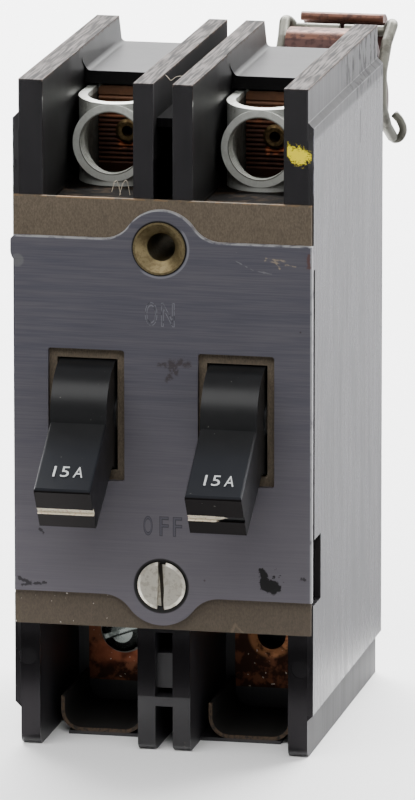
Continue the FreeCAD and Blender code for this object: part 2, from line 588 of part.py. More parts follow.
# One full mechanism for each pole.
for side, sign in sides.items():
    x = sign + POLE

    # Handle: local -Y runs along the handle, the pin is the origin, rest position is OFF.
    handle = start_body("toggle_handle_" + side, x, "pivot_depth", "pivot_height", HALF_THROW)
    hub = start_sketch(handle, "YZ")
    circle(hub, "0", "0", "hub_radius")
    pad(handle, hub, "handle_width", 0)
    paddle = start_sketch(handle, "YZ")
    outline(paddle, [("0", "-root_half"), ("0", "root_half"),
                     ("-handle_length", "nose_half"), ("-handle_length", "-nose_half")])
    pad(handle, paddle, "handle_width", 0)
    ears = start_sketch(handle, "YZ")
    circle(ears, "0", "0", "pin_radius + 2")
    pad(handle, ears, "opening_width - 0.1", 0)
    bore = start_sketch(handle, "YZ")
    circle(bore, "0", "0", "pin_radius + pin_play")
    pocket(handle, bore, "opening_width + 1", 0)
    slot = start_sketch(handle, "YZ")
    rectangle(slot, "3", "-2", "hub_radius + 1", "2")
    pocket(handle, slot, "yoke_thickness", 0)
    groove = start_sketch(handle, "YZ")
    rectangle(groove, "-handle_length - 1", "-0.45 - stripe_width/2",
              "-handle_length + stripe_depth", "-0.45 + stripe_width/2")
    pocket(handle, groove, "handle_width + 1", 0)

    def at_nose(middle, chord, edge):
        flat = abs(chord.y) < 0.01 and abs(chord.z) < 0.01 and abs(chord.x) > 5
        return flat and middle.y < -worth("handle_length") + 0.01 and abs(middle.z) > 2

    soften(handle, "Chamfer", "0.5", at_nose)

    def at_side(middle, chord, edge):
        outer = abs(abs(middle.x) - worth("handle_width/2")) < 0.01
        long_edge = abs(chord.y) > 5 and abs(chord.x) < 0.01
        return outer and long_edge and middle.y < -5

    soften(handle, "Fillet", "0.4", at_side)

    nodes["handle_pin_" + side] = rod("handle_pin_" + side, "pin_radius", "2*frame_half",
                                      x + " - frame_half", "pivot_depth", "pivot_height")

    yoke = start_body("toggle_yoke_" + side, x, "pivot_depth", "pivot_height", HALF_THROW)
    plan = start_sketch(yoke, "YZ")
    outline(plan, [("3", "-2"), ("3", "2"), ("yoke_reach + 1", "2", "1.4"),
                   ("yoke_reach + 1", "-2", "1.4")])
    pad(yoke, plan, "yoke_thickness", 0)
    hole = start_sketch(yoke, "YZ")
    circle(hole, "yoke_reach", "0", "0.7")
    pocket(yoke, hole, "yoke_thickness + 1", 0)

    # Steel frame: two cheeks and a back, open notches in front hold the handle pin.
    frame = start_body("mechanism_frame_" + side, x)
    cheek = start_sketch(frame, "YZ")
    outline(cheek, [("0.3", "pivot_height - 5"), ("0.3", "pivot_height + 5"), ("14", "66"),
                    ("36", "70"), ("cavity_depth", "70"), ("cavity_depth", "35.2"),
                    ("42", "35.2"), ("36", "46"), ("14", "50")])
    pad(frame, cheek, "2*frame_half", 0)
    inside = start_sketch(frame, "YZ")
    rectangle(inside, "-1", "30", "cavity_depth - frame_sheet", "75")
    pocket(frame, inside, "2*(frame_half - frame_sheet)", 0)
    holes = start_sketch(frame, "YZ")
    circle(holes, "arm_depth", "arm_height", "pin_radius")
    circle(holes, "lever_depth", "lever_height", "pin_radius")
    circle(holes, "bar_depth", "bar_height", "bar_radius + 0.6")
    pocket(frame, holes, "2*frame_half + 1", 0)
    notch = start_sketch(frame, "YZ")
    rectangle(notch, "-1", "pivot_height - pin_radius", "pivot_depth", "pivot_height + pin_radius")
    pocket(frame, notch, "2*frame_half + 1", 0)
    notch = start_sketch(frame, "YZ")
    circle(notch, "pivot_depth", "pivot_height", "pin_radius")
    pocket(frame, notch, "2*frame_half + 1", 0)
    taps = start_sketch(frame, "XZ", "cavity_depth - frame_sheet - 0.1")
    circle(taps, "0", "39", "1.45")
    circle(taps, "0", "66", "1.45")
    pocket(frame, taps, "frame_sheet + 0.2")

    # Contact arm: local origin at the arm pin, drawn in the ON position, rests tilted open.
    arm = start_body("contact_arm_" + side, x, "arm_depth", "arm_height", "arm_throw")
    plan = start_sketch(arm, "YZ")
    outline(plan, [("-1.8", "1.2"), ("9.0", "21.5", "3"), ("9.0", "27.5"), ("10.6", "27.5"),
                   ("10.6", "20.0", "4"), ("3.2", "1.9"), ("crank_reach", "1.9"),
                   ("crank_reach", "-1.9"), ("0", "-2.2"), ("-1.8", "-1.2")])
    pad(arm, plan, "arm_width", 0)
    for spot, radius in (("0", "2.4"), ("crank_reach", "1.9")):
        ring = start_sketch(arm, "YZ")
        circle(ring, spot, "0", radius)
        pad(arm, ring, "arm_width", 0)
    slot = start_sketch(arm, "YZ")
    rectangle(slot, "-4", "-4", "crank_reach + 4", "8")
    pocket(arm, slot, "arm_slot", 0)
    bore = start_sketch(arm, "YZ")
    circle(bore, "0", "0", "pin_radius + pin_play")
    circle(bore, "crank_reach", "0", "0.9")
    pocket(arm, bore, "arm_width + 1", 0)

    tip = start_body("moving_contact_" + side, x, "arm_depth", "arm_height", "arm_throw")
    face = start_sketch(tip, "XZ", "10.6")
    outline(face, [("-2.5", "22.0", "0.8"), ("2.5", "22.0", "0.8"),
                   ("2.5", "27.2", "0.8"), ("-2.5", "27.2", "0.8")])
    pad(tip, face, "1.45")

    stubs = [rod("arm_pin_%s_%s" % (side, part), "pin_radius", "frame_half - arm_slot/2 - 0.05",
                 x + shift, "arm_depth", "arm_height")
             for part, shift in (("a", " - frame_half"), ("b", " + arm_slot/2 + 0.05"))]
    group("arm_pin_" + side, stubs)

    nodes["spring_pin_" + side] = rod("spring_pin_" + side, "0.9", "8.1", x + " - 2.5",
                                      SPRING_Y2, SPRING_Z2)

    # Toggle spring: close wound coil with an eye at each end, drawn along local +Y.
    slope = "(atan((" + SPRING_Z2 + " - " + SPRING_Z1 + ")/(" + SPRING_Y2 + " - " + SPRING_Y1 + "))/1deg)"
    span = "sqrt((" + SPRING_Z2 + " - " + SPRING_Z1 + ")^2 + (" + SPRING_Y2 + " - " + SPRING_Y1 + ")^2)"
    coil = start_body("toggle_spring_" + side, x, SPRING_Y1, SPRING_Z1, slope)
    profile = [("2.0", "0.6"), ("2.0", "1.4")]
    turns = 12
    for turn in range(1, turns):
        along = "2.0 + (%s - 3.7)*%d/%d" % (span, turn, turns)
        profile.append((along + " - 0.12", "1.4"))
        profile.append((along, "1.05"))
        profile.append((along + " + 0.12", "1.4"))
    profile.append((span + " - 1.35", "1.4"))
    profile.append((span + " - 1.35", "0.6"))
    revolve(coil, profile)
    for where, plane in (("near", "XY"), ("far", "YZ")):
        eye = start_sketch(coil, plane)
        middle_y = "1.15" if where == "near" else span
        reach = "1.3" if where == "near" else "1.7"
        hole = "0.75" if where == "near" else "1.0"
        if plane == "XY":
            circle(eye, "0", middle_y, reach)
            circle(eye, "0", middle_y, hole)
        else:
            circle(eye, middle_y, "0", reach)
            circle(eye, middle_y, "0", hole)
        pad(coil, eye, "0.8", 0)

    # Trip lever: its upper end rests against the hook of the trip bar.
    lever = start_body("trip_lever_" + side, x, "lever_depth", "lever_height")
    plan = start_sketch(lever, "YZ", "3.4")
    outline(plan, [("-1.8", "0"), ("0.2", "17.5"), ("1.5", "17.5"), ("1.5", "15.8"), ("2.2", "0")])
    pad(lever, plan, "2")
    plan = start_sketch(lever, "YZ", "3.4")
    outline(plan, [("-1.6", "-1.6"), ("-16.2", "12.6"), ("-16.2", "14.8"), ("-14.4", "14.8"), ("0.5", "2.0")])
    pad(lever, plan, "2")
    tube = start_sketch(lever, "YZ")
    circle(tube, "0", "0", "2.5")
    pad(lever, tube, "2*(frame_half - frame_sheet) - 0.4", 0)
    bore = start_sketch(lever, "YZ")
    circle(bore, "0", "0", "pin_radius + pin_play")
    pocket(lever, bore, "2*frame_half", 0)

    nodes["lever_pin_" + side] = rod("lever_pin_" + side, "pin_radius", "2*frame_half",
                                     x + " - frame_half", "lever_depth", "lever_height")

    # Thermal element, its setting screw at the back and the flexible lead to the arm.
    strip = start_body("bimetal_" + side, x)
    face = start_sketch(strip, "XZ", "37")
    outline(face, [("-3", "29"), ("3", "29"), ("3", "60", "1"), ("-3", "60", "1")])
    pad(strip, face, "1")
    setting = start_body("calibration_screw_" + side, x, "0", "33")
    revolve(setting, [("38.2", "0"), ("38.2", "1.1"), ("38.6", "1.5"), ("case_depth - 0.4", "1.5"),
                      ("case_depth - 0.4", "0")])
    slot = start_sketch(setting, "XZ", "case_depth - 1.1")
    rectangle(slot, "-2", "-0.25", "2", "0.25")
    pocket(setting, slot, "2")

    lead = doc.addObject("Part::Feature", "braid_" + side)
    lead.Label = "braid_" + side
    arm_end = (worth("arm_depth") + 0.8, worth("arm_height") - 2.8)
    way_points = [(-3.7, arm_end[0], arm_end[1]), (-3.7, arm_end[0], 45.2),
                  (-1.6, 35.85, 45.2), (-1.6, 35.85, 56.2)]
    lead.Shape = bent_wire(way_points, 1.1, 4.0)
    place(lead, x, "0", "0")
    nodes["braid_" + side] = lead

    # Arc chute: fibre hood over a stack of notched steel plates.
    hood = start_body("arc_chute_" + side, x, "20", "75")
    face = start_sketch(hood, "XZ")
    top = "(shelf_height - shelf_thickness - 75.2)"
    wide = "(" + BAY_HALF + " - 0.125)"
    outline(face, [(minus(wide), "0"), (minus(wide), top), (wide, top), (wide, "0"),
                   (wide + " - 0.7", "0"), (wide + " - 0.7", top + " - 0.7"),
                   (minus(wide + " - 0.7"), top + " - 0.7"), (minus(wide + " - 0.7"), "0")])
    pad(hood, face, "13")
    stack = []
    for number in range(5):
        fin = start_body("arc_plate_%s_%d" % (side, number), x, "21.3 + %d*2.3" % number, "75")
        face = start_sketch(fin, "XZ")
        outline(face, [(minus(wide + " - 0.75"), "1"), (minus(wide + " - 0.75"), top + " - 0.75"),
                       (wide + " - 0.75", top + " - 0.75"), (wide + " - 0.75", "1"),
                       ("3.4", "1"), ("3.4", top + " - 2.0", "1.5"),
                       ("-3.4", top + " - 2.0", "1.5"), ("-3.4", "1")])
        pad(fin, face, "1.2")
        stack.append(fin)
    group("arc_plates_" + side, stack)

    # Line side: copper strap with a ribbed face, rivet, fixed contact and the wire lug.
    strap = start_body("line_strap_" + side, x + " - line_shift")
    face = start_sketch(strap, "XZ", "strap_front")
    outline(face, [("-strap_width/2", "76.5"), ("strap_width/2", "76.5"),
                   ("strap_width/2", "strap_high", "0.8"), ("-strap_width/2", "strap_high", "0.8")])
    pad(strap, face, "strap_thickness")
    hole = start_sketch(strap, "XZ", "strap_front - 0.1")
    circle(hole, "0", "rivet_height", "rivet_radius")
    pocket(strap, hole, "strap_thickness + 0.2")
    ribs = start_sketch(strap, "YZ")
    teeth = [("strap_front - 0.2", "93.4")]
    for tooth in range(15):
        base = "93.4 + %.1f" % (tooth * 0.8)
        teeth.append(("strap_front", base))
        teeth.append(("strap_front + 0.3", base + " + 0.3"))
        teeth.append(("strap_front", base + " + 0.6"))
    teeth.append(("strap_front - 0.2", "93.4 + 11.8"))
    outline(ribs, teeth)
    pocket(strap, ribs, "strap_width + 1", 0)

    rivet = start_body("line_rivet_" + side, x + " - line_shift", "strap_front", "rivet_height")
    grip = "3*strap_thickness" if side == "right" else "strap_thickness"
    revolve(rivet, [("-0.55", "0.95"), ("-0.6", "1.6"), ("-0.3", "2.1"), ("0", "2.1"),
                    ("0", "rivet_radius"), (grip, "rivet_radius"), (grip, "2.0"),
                    (grip + " + 0.5", "2.0"), (grip + " + 0.5", "0.95")])

    anvil = start_body("fixed_contact_" + side, x)
    face = start_sketch(anvil, "XZ", "strap_front - 1.4")
    outline(face, [("-2.8", "79"), ("2.8", "79"), ("2.8", "85", "1"), ("-2.8", "85", "1")])
    pad(anvil, face, "1.4")

    lug = start_body("line_lug_" + side, x + " - line_shift")
    shell = start_sketch(lug, "XY", "shelf_height")
    circle(shell, "0", "lug_depth", "lug_radius")
    pad(lug, shell, "lug_high - shelf_height")
    legs = start_sketch(lug, "XY", "shelf_height")
    LEG_END = "(strap_front + strap_thickness + 0.05 + lug_wall)"
    rectangle(legs, "-lug_radius", "lug_depth", "lug_radius", LEG_END)
    pad(lug, legs, "lug_high - shelf_height")
    boss = start_sketch(lug, "XZ", "boss_front")
    circle(boss, "0", "boss_height", "boss_radius")
    pad(lug, boss, "lug_depth - boss_front")
    hollow = start_sketch(lug, "XY", "shelf_height - 1")
    circle(hollow, "0", "lug_depth", "lug_radius - lug_wall")
    pocket(lug, hollow, "lug_high - shelf_height + 2")
    hollow = start_sketch(lug, "XY", "shelf_height - 1")
    rectangle(hollow, "-lug_radius + lug_wall", "lug_depth", "lug_radius - lug_wall",
              "strap_front + strap_thickness + 0.05")
    pocket(lug, hollow, "lug_high - shelf_height + 2")
    hollow = start_sketch(lug, "XY", "shelf_height - 1")
    rectangle(hollow, "-4.3", "lug_depth", "4.3", LEG_END + " + 1")
    pocket(lug, hollow, "lug_high - shelf_height + 2")
    thread = start_sketch(lug, "XZ", "boss_front - 1")
    circle(thread, "0", "boss_height", "boss_bore")
    pocket(lug, thread, "lug_depth - boss_front")
    rim = start_sketch(lug, "YZ")
    outline(rim, [("boss_front - 1", "lug_high - lug_dip"), ("lug_depth", "lug_high"),
                  ("lug_depth", "lug_high + 1"), ("boss_front - 1", "lug_high + 1")])
    pocket(lug, rim, "2*lug_radius + 1", 0)

    # Load side: bent copper strap and the brown fibre tray in the pocket.
    load = start_body("load_strap_" + side, x)
    plan = start_sketch(load, "YZ")
    LOAD_BACK = "(load_front + load_thickness)"
    outline(plan, [("load_front", "load_low"), (LOAD_BACK, "load_low"), (LOAD_BACK, "24.9", "0.8"),
                   ("37", "24.9", "2.2"), ("37", "36"), ("37 - load_thickness", "36"),
                   ("37 - load_thickness", "24.9 + load_thickness", "0.8"),
                   ("load_front", "24.9 + load_thickness", "2.2")])
    pad(load, plan, "load_width", 0)
    hole = start_sketch(load, "XZ", "load_front - 0.1")
    circle(hole, "0", "terminal_height", "terminal_radius")
    pocket(load, hole, "load_thickness + 0.2")

    tray = start_body("pocket_liner_" + side, x + " + liner_side")
    inner_half = "(liner_half - liner_thickness)"
    face = start_sketch(tray, "XZ", "floor_start")
    outline(face, [("-liner_half", "liner_high"), ("-liner_half", FLOOR, "3.5"),
                   ("liner_half", FLOOR, "3.5"), ("liner_half", "liner_high"), (inner_half, "liner_high"),
                   (inner_half, FLOOR + " + liner_thickness", "2.9"),
                   (minus(inner_half), FLOOR + " + liner_thickness", "2.9"),
                   (minus(inner_half), "liner_high")])
    pad(tray, face, "load_front - floor_start - 0.1")

# Load screw and washer: the photograph shows them on the left pole only.
washer = start_body("load_washer_left", minus(POLE), "load_front", "terminal_height")
revolve(washer, [("-0.8", "terminal_radius"), ("-0.8", "4.1"), ("0", "4.1"), ("0", "terminal_radius")])
screw = start_body("load_screw_left", minus(POLE), "load_front", "terminal_height")
revolve(screw, [("-3.0", "0"), ("-2.85", "1.9"), ("-2.4", "3.1"), ("-1.8", "3.7"), ("-0.8", "3.7"),
                ("-0.8", "terminal_radius - 0.05"), ("5.2", "terminal_radius - 0.05"),
                ("5.8", "1.9"), ("5.8", "0")])
cut = start_sketch(screw, "XZ", "-3.2")
outline(cut, [("-4", "-1.45 - 0.5"), ("4", "1.45 - 0.5"), ("4", "1.45 + 0.5"), ("-4", "-1.45 + 0.5")])
pocket(screw, cut, "1.2")

# Screws that hold the two frames, from behind.
heads = []
for side, sign in sides.items():
    for number, height in enumerate(("39", "66"), start=1):
        screw = start_body("frame_screw_%s_%d" % (side, number), sign + POLE, "case_depth", height)
        revolve(screw, [("-8.2", "0"), ("-8.2", "1.45"), ("-2.2", "1.45"), ("-2.2", "2.6"),
                        ("-0.6", "2.6"), ("-0.2", "2.0"), ("-0.2", "0")])
        cut = start_sketch(screw, "XZ", "-1.0")
        rectangle(cut, "-3", "-0.4", "3", "0.4")
        pocket(screw, cut, "2")
        heads.append(screw)
group("frame_screws", heads)

# Trip bar: one bar for both poles with a finger and a hook in each.
bar = start_body("trip_bar", "0", "bar_depth", "bar_height")
round_bar = start_sketch(bar, "YZ")
circle(round_bar, "0", "0", "bar_radius")
pad(bar, round_bar, "2*(" + POLE + " + 6.3)", 0)
for sign in sides.values():
    plan = start_sketch(bar, "YZ", sign + POLE + " - 3")
    outline(plan, [("-4.7", "-8"), ("-3.2", "-8"), ("-3.2", "-2.6"), ("-0.5", "-2.0"), ("-0.5", "2.0"),
                   ("-4.7", "0.6")])
    pad(bar, plan, "6")
    plan = start_sketch(bar, "YZ", sign + POLE + " + 3.4")
    outline(plan, [("0.5", "-2.1"), ("4.9", "-2.7"), ("4.9", "-6.0"), ("6.4", "-6.0"), ("6.4", "0"),
                   ("0.5", "2.1")])
    pad(bar, plan, "2")

# Plug-on jaw of the right pole: two sprung copper blades and a bent spring wire.
for name, flip, flange_y in (("rear_jaw_upper", "", "35.75"), ("rear_jaw_lower", "-", "37.25")):
    def level(offset):
        return "jaw_height + " + flip + "(" + offset + ")" if flip else "jaw_height + " + offset

    path = doc.addObject("Sketcher::SketchObject", name + "_line")
    path.Placement = FreeCAD.Placement(FreeCAD.Vector(),
                                       FreeCAD.Rotation(FreeCAD.Vector(1, 1, 1), 120))
    tip = JAW_TIP
    outline(path, [(flange_y, level("0 - 2.8")), (flange_y, level("5.6"), "1.6"),
                   ("case_depth + 19.2", level("5.6"), "1.5"), ("case_depth + 21.4", level("8.7"), "1.5"),
                   ("case_depth + 25.7", level("8.7"), "2.5"),
                   ("case_depth + 32.75", level("1.65"), "curl_radius"),
                   (tip, level("1.65"), "curl_radius"), (tip, level("9.6"), "curl_radius"),
                   ("case_depth + 34.6", level("9.6"))], closed=False)
    path.setExpression("Placement.Base.x", linked("-blade_side"))
    ribbon = doc.addObject("Part::Offset2D", name + "_ribbon")
    ribbon.Source = path
    ribbon.Mode = "Pipe"
    ribbon.Join = "Arc"
    ribbon.Fill = True
    ribbon.setExpression("Value", linked("blade_thickness/2"))
    blank = doc.addObject("Part::Extrusion", name + "_blank")
    blank.Base = ribbon
    blank.DirMode = "Custom"
    blank.Dir = FreeCAD.Vector(1, 0, 0)
    blank.Solid = True
    blank.Symmetric = True
    blank.setExpression("LengthFwd", linked("blade_width"))
    cutters = []
    for hand in ("-", ""):
        side_cut = doc.addObject("Part::Box", name + "_neck")
        side_cut.setExpression("Length", linked("blade_width/2"))
        side_cut.setExpression("Width", linked("case_depth - 26"))
        side_cut.Height = 30
        start_x = "root_width/2" if hand == "" else "-root_width/2 - blade_width/2"
        side_cut.setExpression("Placement.Base.x", linked(start_x))
        side_cut.Placement.Base.y = 30
        side_cut.setExpression("Placement.Base.z", linked("jaw_height - 15"))
        cutters.append(side_cut)
    hole = doc.addObject("Part::Cylinder", name + "_hole")
    hole.Placement = FreeCAD.Placement(FreeCAD.Vector(0, 30, 0),
                                       FreeCAD.Rotation(FreeCAD.Vector(1, 0, 0), -90))
    hole.setExpression("Radius", linked("rivet_radius"))
    hole.setExpression("Placement.Base.x", linked("-line_shift"))
    hole.Height = 10
    hole.setExpression("Placement.Base.z", linked("rivet_height"))
    cutters.append(hole)
    tool = doc.addObject("Part::MultiFuse", name + "_cutters")
    tool.Shapes = cutters
    blade = doc.addObject("Part::Cut", name)
    blade.Label = name
    blade.Base = blank
    blade.Tool = tool
    place(blade, POLE, "0", "0")
    nodes[name] = blade


middle_z = worth("jaw_height")
rear = worth("case_depth")
upper = [(-0.45, rear + 29.2, middle_z + 8.45), (-7.9, rear + 29.2, middle_z + 8.45),
         (-9.4, rear + 28.7, middle_z + 10.7), (-8.9, rear + 24.2, middle_z + 7.45),
         (-8.85, rear + 19.7, middle_z + 3.0)]
lower = [(x, y, 2 * middle_z - z) for x, y, z in reversed(upper[1:])]
half = upper + lower
other = [(-x, y, z) for x, y, z in reversed(half)]
half = half[:1] + [(x - 0.65, y, z) for x, y, z in half[1:-1]] + half[-1:]
spring = doc.addObject("Part::Feature", "rear_jaw_spring")
spring.Label = "rear_jaw_spring"
spring.Shape = bent_wire(half + other, worth("wire_radius"), 1.2)
place(spring, POLE, "0", "0")
nodes["rear_jaw_spring"] = spring

doc.recompute()

# Every piece has to be sound before it is written.
for thing in doc.Objects:
    if "Invalid" in thing.State or "Error" in thing.State:
        raise RuntimeError("broken feature: " + thing.Label)
for name, thing in nodes.items():
    if thing.Shape.isNull() or not thing.Shape.isValid():
        raise RuntimeError("bad shape: " + name)
    if thing.Label != name:
        raise RuntimeError("label differs: " + name)
    thing.Shape.exportStep("parts/" + name + ".step")
print(len(nodes), "pieces")
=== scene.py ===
# %% [markdown]
# A two pole circuit breaker in a moulded case. The solids come from CAD and keep their
# shape. This lesson gives them their finishes, adds the lettering, the hook of the jaw's wire
# and a few hairs, and sets up the studio: camera, table and soft light.

# %% Load the solids
import math

import bpy
import numpy as np
from mathutils import Matrix, Vector


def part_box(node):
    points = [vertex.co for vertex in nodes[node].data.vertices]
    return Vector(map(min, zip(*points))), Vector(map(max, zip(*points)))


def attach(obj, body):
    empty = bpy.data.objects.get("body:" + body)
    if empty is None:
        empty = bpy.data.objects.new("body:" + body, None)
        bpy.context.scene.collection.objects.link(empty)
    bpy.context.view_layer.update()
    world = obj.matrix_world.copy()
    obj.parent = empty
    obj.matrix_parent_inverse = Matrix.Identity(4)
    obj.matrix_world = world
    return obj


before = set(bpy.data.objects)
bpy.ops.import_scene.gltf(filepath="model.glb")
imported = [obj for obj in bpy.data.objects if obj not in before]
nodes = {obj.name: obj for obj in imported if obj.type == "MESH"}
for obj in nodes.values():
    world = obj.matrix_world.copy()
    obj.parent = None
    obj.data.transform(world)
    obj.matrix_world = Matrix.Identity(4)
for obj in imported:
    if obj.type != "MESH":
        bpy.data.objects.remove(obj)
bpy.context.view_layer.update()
case_low, case_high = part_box("case")
print(len(nodes), "solids, case from", tuple(case_low), "to", tuple(case_high))

# %% [markdown]
# All sizes below are in millimetres in the maker's own frame: x across from the slit between
# the poles, y back from the front edge of the moulded walls, and z up from a line FOOT above
# the table. One helper turns such a place into metres of the scene.

# %% The maker's frame
MM = 0.001
FOOT = 0.6
FRONT = case_low.y
PLATE_FACE = (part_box("faceplate")[0].y - FRONT) / MM
POLE = sum(corner.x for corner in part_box("load_strap_right")) / 2 / MM


def spot(x, y, z):
    """A place of the maker's frame in metres of the scene."""
    return Vector((x * MM, FRONT + y * MM, (z + FOOT) * MM))


print("pole centre", round(POLE, 3), "plate face", round(PLATE_FACE, 3))

# %% [markdown]
# The camera stands far away with a long lens, a little above and to the right of the front.
# Its place is worked out from the turns that bring the maker's frame into the view, so a
# turn and a shift are easy to correct after comparing a render with the photograph.

# %% Camera
PHOTO = (415, 800)
SENSOR = 36.0
FOCAL_PX = 9650.0
CENTRE_PX = (190.2, 407.3)
YAW, PITCH, ROLL = (math.radians(a) for a in (-11.92, 12.59, 0.06))
VIEW_SHIFT = Vector((-4.2, 1625.0, -57.4))
SIDE_SHIFT = Vector((0.25, 0.0, 0.0))

turn = (Matrix.Rotation(-ROLL, 3, "Y") @ Matrix.Rotation(PITCH, 3, "X")
        @ Matrix.Rotation(YAW, 3, "Z"))
eye = turn.transposed() @ -VIEW_SHIFT + SIDE_SHIFT
right, ahead, up = (Vector(row) for row in turn)
facing_view = Matrix((right, up, -ahead)).transposed().to_4x4()

camera = bpy.data.objects.new("camera", bpy.data.cameras.new("camera"))
bpy.context.scene.collection.objects.link(camera)
camera.matrix_world = Matrix.Translation(spot(*eye)) @ facing_view
camera.data.sensor_fit = "VERTICAL"
camera.data.sensor_height = SENSOR
camera.data.lens = FOCAL_PX / PHOTO[1] * SENSOR
camera.data.shift_x = (PHOTO[0] / 2 - CENTRE_PX[0]) / PHOTO[1]
camera.data.shift_y = (CENTRE_PX[1] - PHOTO[1] / 2) / PHOTO[1]
camera.data.clip_end = 10.0
bpy.context.scene.camera = camera
print("lens", round(camera.data.lens, 1), "eye", tuple(round(c, 3) for c in camera.location))

# %% [markdown]
# Finishes could be wired by hand in the shader editor, but they are easier to read as sums
# than as boxes and wires. The small class below wraps a socket, so that `1 - mask * 0.5`
# makes its Math nodes.

# %% Sockets


class Socket:
    """An output of a material node that Python's operators can calculate with."""

    def __init__(self, paint, output):
        self.paint = paint
        self.output = output

    def math(self, operation, *values):
        return self.paint.node("ShaderNodeMath", {"operation": operation}, *values)

    def __add__(self, other):
        return self.math("ADD", self, other)

    def __sub__(self, other):
        return self.math("SUBTRACT", self, other)

    def __rsub__(self, other):
        return self.math("SUBTRACT", other, self)

    def __mul__(self, other):
        return self.math("MULTIPLY", self, other)

    __radd__ = __add__

    def __truediv__(self, other):
        return self.math("DIVIDE", self, other)

    def __abs__(self):
        return self.math("ABSOLUTE", self)

    def least(self, other):
        return self.math("MINIMUM", self, other)

    def most(self, other):
        return self.math("MAXIMUM", self, other)

    def rise(self, low, high):
        """0 below low, 1 above high and a smooth step between; low may be the larger."""
        settings = {"interpolation_type": "SMOOTHSTEP"}
        if low > high:
            return 1 - self.rise(high, low)
        return self.paint.node("ShaderNodeMapRange", settings, self, low, high, 0.0, 1.0)


print("sockets can be added, taken away, multiplied and compared")

# %% [markdown]
# A paint is one material. All its masks need places on the object and noise, so it turns the
# object's own coordinates into millimetres of the maker's frame once and keeps x, y and z as
# sockets. Distances to a point or a stroke then give every spot and scratch its place.

# %% Paints


class Paint:
    """A Principled material whose places are millimetres of the maker's frame."""

    def __init__(self, name, color, roughness, metallic=0.0):
        self.material = bpy.data.materials.new(name)
        self.material.use_nodes = True
        self.tree = self.material.node_tree
        self.shader = self.tree.nodes["Principled BSDF"]
        self.set("Base Color", (*color, 1.0))
        self.set("Roughness", roughness)
        self.set("Metallic", metallic)
        coordinate = self.tree.nodes.new("ShaderNodeTexCoord")
        local = Socket(self, coordinate.outputs["Object"])
        shifted = self.node("ShaderNodeVectorMath", {"operation": "SUBTRACT"},
                            local, (0.0, FRONT, FOOT * MM))
        self.place = self.node("ShaderNodeVectorMath", {"operation": "MULTIPLY"},
                               shifted, (1 / MM, 1 / MM, 1 / MM))
        axes = self.tree.nodes.new("ShaderNodeSeparateXYZ")
        self.feed(axes.inputs[0], self.place)
        self.x, self.y, self.z = (Socket(self, output) for output in axes.outputs)

    def feed(self, socket, value):
        if isinstance(value, Socket):
            self.tree.links.new(value.output, socket)
        else:
            socket.default_value = value

    def node(self, kind, settings, *values, **named):
        """A node of this kind; its settings come first, then the values or links of its sockets.

        It comes back as the socket of its first output.
        """
        made = self.tree.nodes.new(kind)
        for key, value in settings.items():
            setattr(made, key, value)
        for index, value in enumerate(values):
            self.feed(made.inputs[index], value)
        for key, value in named.items():
            self.feed(made.inputs[key.replace("_", " ")], value)
        return Socket(self, made.outputs[0])

    def set(self, name, value):
        self.feed(self.shader.inputs[name], value)

    def noise(self, size, detail=3.0, stretch=(1.0, 1.0, 1.0), rough=0.5, shift=0.0):
        """Cloudy values near 0.5 with blotches of about size millimetres."""
        scaled = self.node("ShaderNodeVectorMath", {"operation": "MULTIPLY"}, self.place,
                           tuple(s / size for s in stretch))
        moved = self.node("ShaderNodeVectorMath", {"operation": "ADD"}, scaled,
                          (shift, shift, shift))
        return self.node("ShaderNodeTexNoise", {}, Vector=moved, Scale=1.0, Detail=detail,
                         Roughness=rough)

    def reach(self, x, z, mirrored=False):
        """Distance, seen from the front, to the line through x and z that runs straight back."""
        from_x = (abs(self.x) if mirrored else self.x) - x
        from_z = self.z - z
        return self.node("ShaderNodeMath", {"operation": "SQRT"}, from_x * from_x + from_z * from_z)

    def stroke(self, x0, z0, x1, z1, half):
        """Distance, seen from the front, to a line from one place to another with round ends.

        The place is first carried along the line to its nearest point, kept between the ends.
        """
        run, climb = x1 - x0, z1 - z0
        length = math.hypot(run, climb)
        from_x = self.x - x0
        from_z = self.z - z0
        share = (from_x * run + from_z * climb) / length ** 2
        share = self.node("ShaderNodeClamp", {}, share, 0.0, 1.0)
        away_x = from_x - share * run
        away_z = from_z - share * climb
        return self.node("ShaderNodeMath", {"operation": "SQRT"},
                         away_x * away_x + away_z * away_z) - half

    def mix(self, first, second, factor):
        """Blends two colours, given as linear triples or sockets."""
        made = self.tree.nodes.new("ShaderNodeMix")
        made.data_type = "RGBA"
        self.feed(made.inputs[0], factor)
        for index, color in ((6, first), (7, second)):
            self.feed(made.inputs[index], color if isinstance(color, Socket) else (*color, 1.0))
        return Socket(self, made.outputs[2])

    def coats(self, tint, *coats):
        """Lays colours over each other; each coat is a colour and the mask of where it covers."""
        for color, cover in coats:
            tint = self.mix(tint, color, cover)
        return tint

    def bump(self, height, distance):
        """Relief that height raises by up to distance, in millimetres."""
        self.set("Normal", self.node("ShaderNodeBump", {}, Strength=1.0,
                                     Distance=distance * MM, Height=height))


def eye_color(red, green, blue):
    """Linear light for a colour that is read from a screen, 0 to 255 in each channel."""
    scaled = np.array([red, green, blue]) / 255.0
    return tuple(float(v) for v in np.where(scaled > 0.04045, ((scaled + 0.055) / 1.055) ** 2.4,
                                            scaled / 12.92))


print("a paint starts in millimetres of the maker's frame")

# %% [markdown]
# The case is black phenolic moulding, hard, glossy and slightly cloudy. Its marks could be
# painted on it by hand, but wear follows height and edges, so each mark here is a mask made
# from places in the maker's frame. It then sits right on every side of the case.

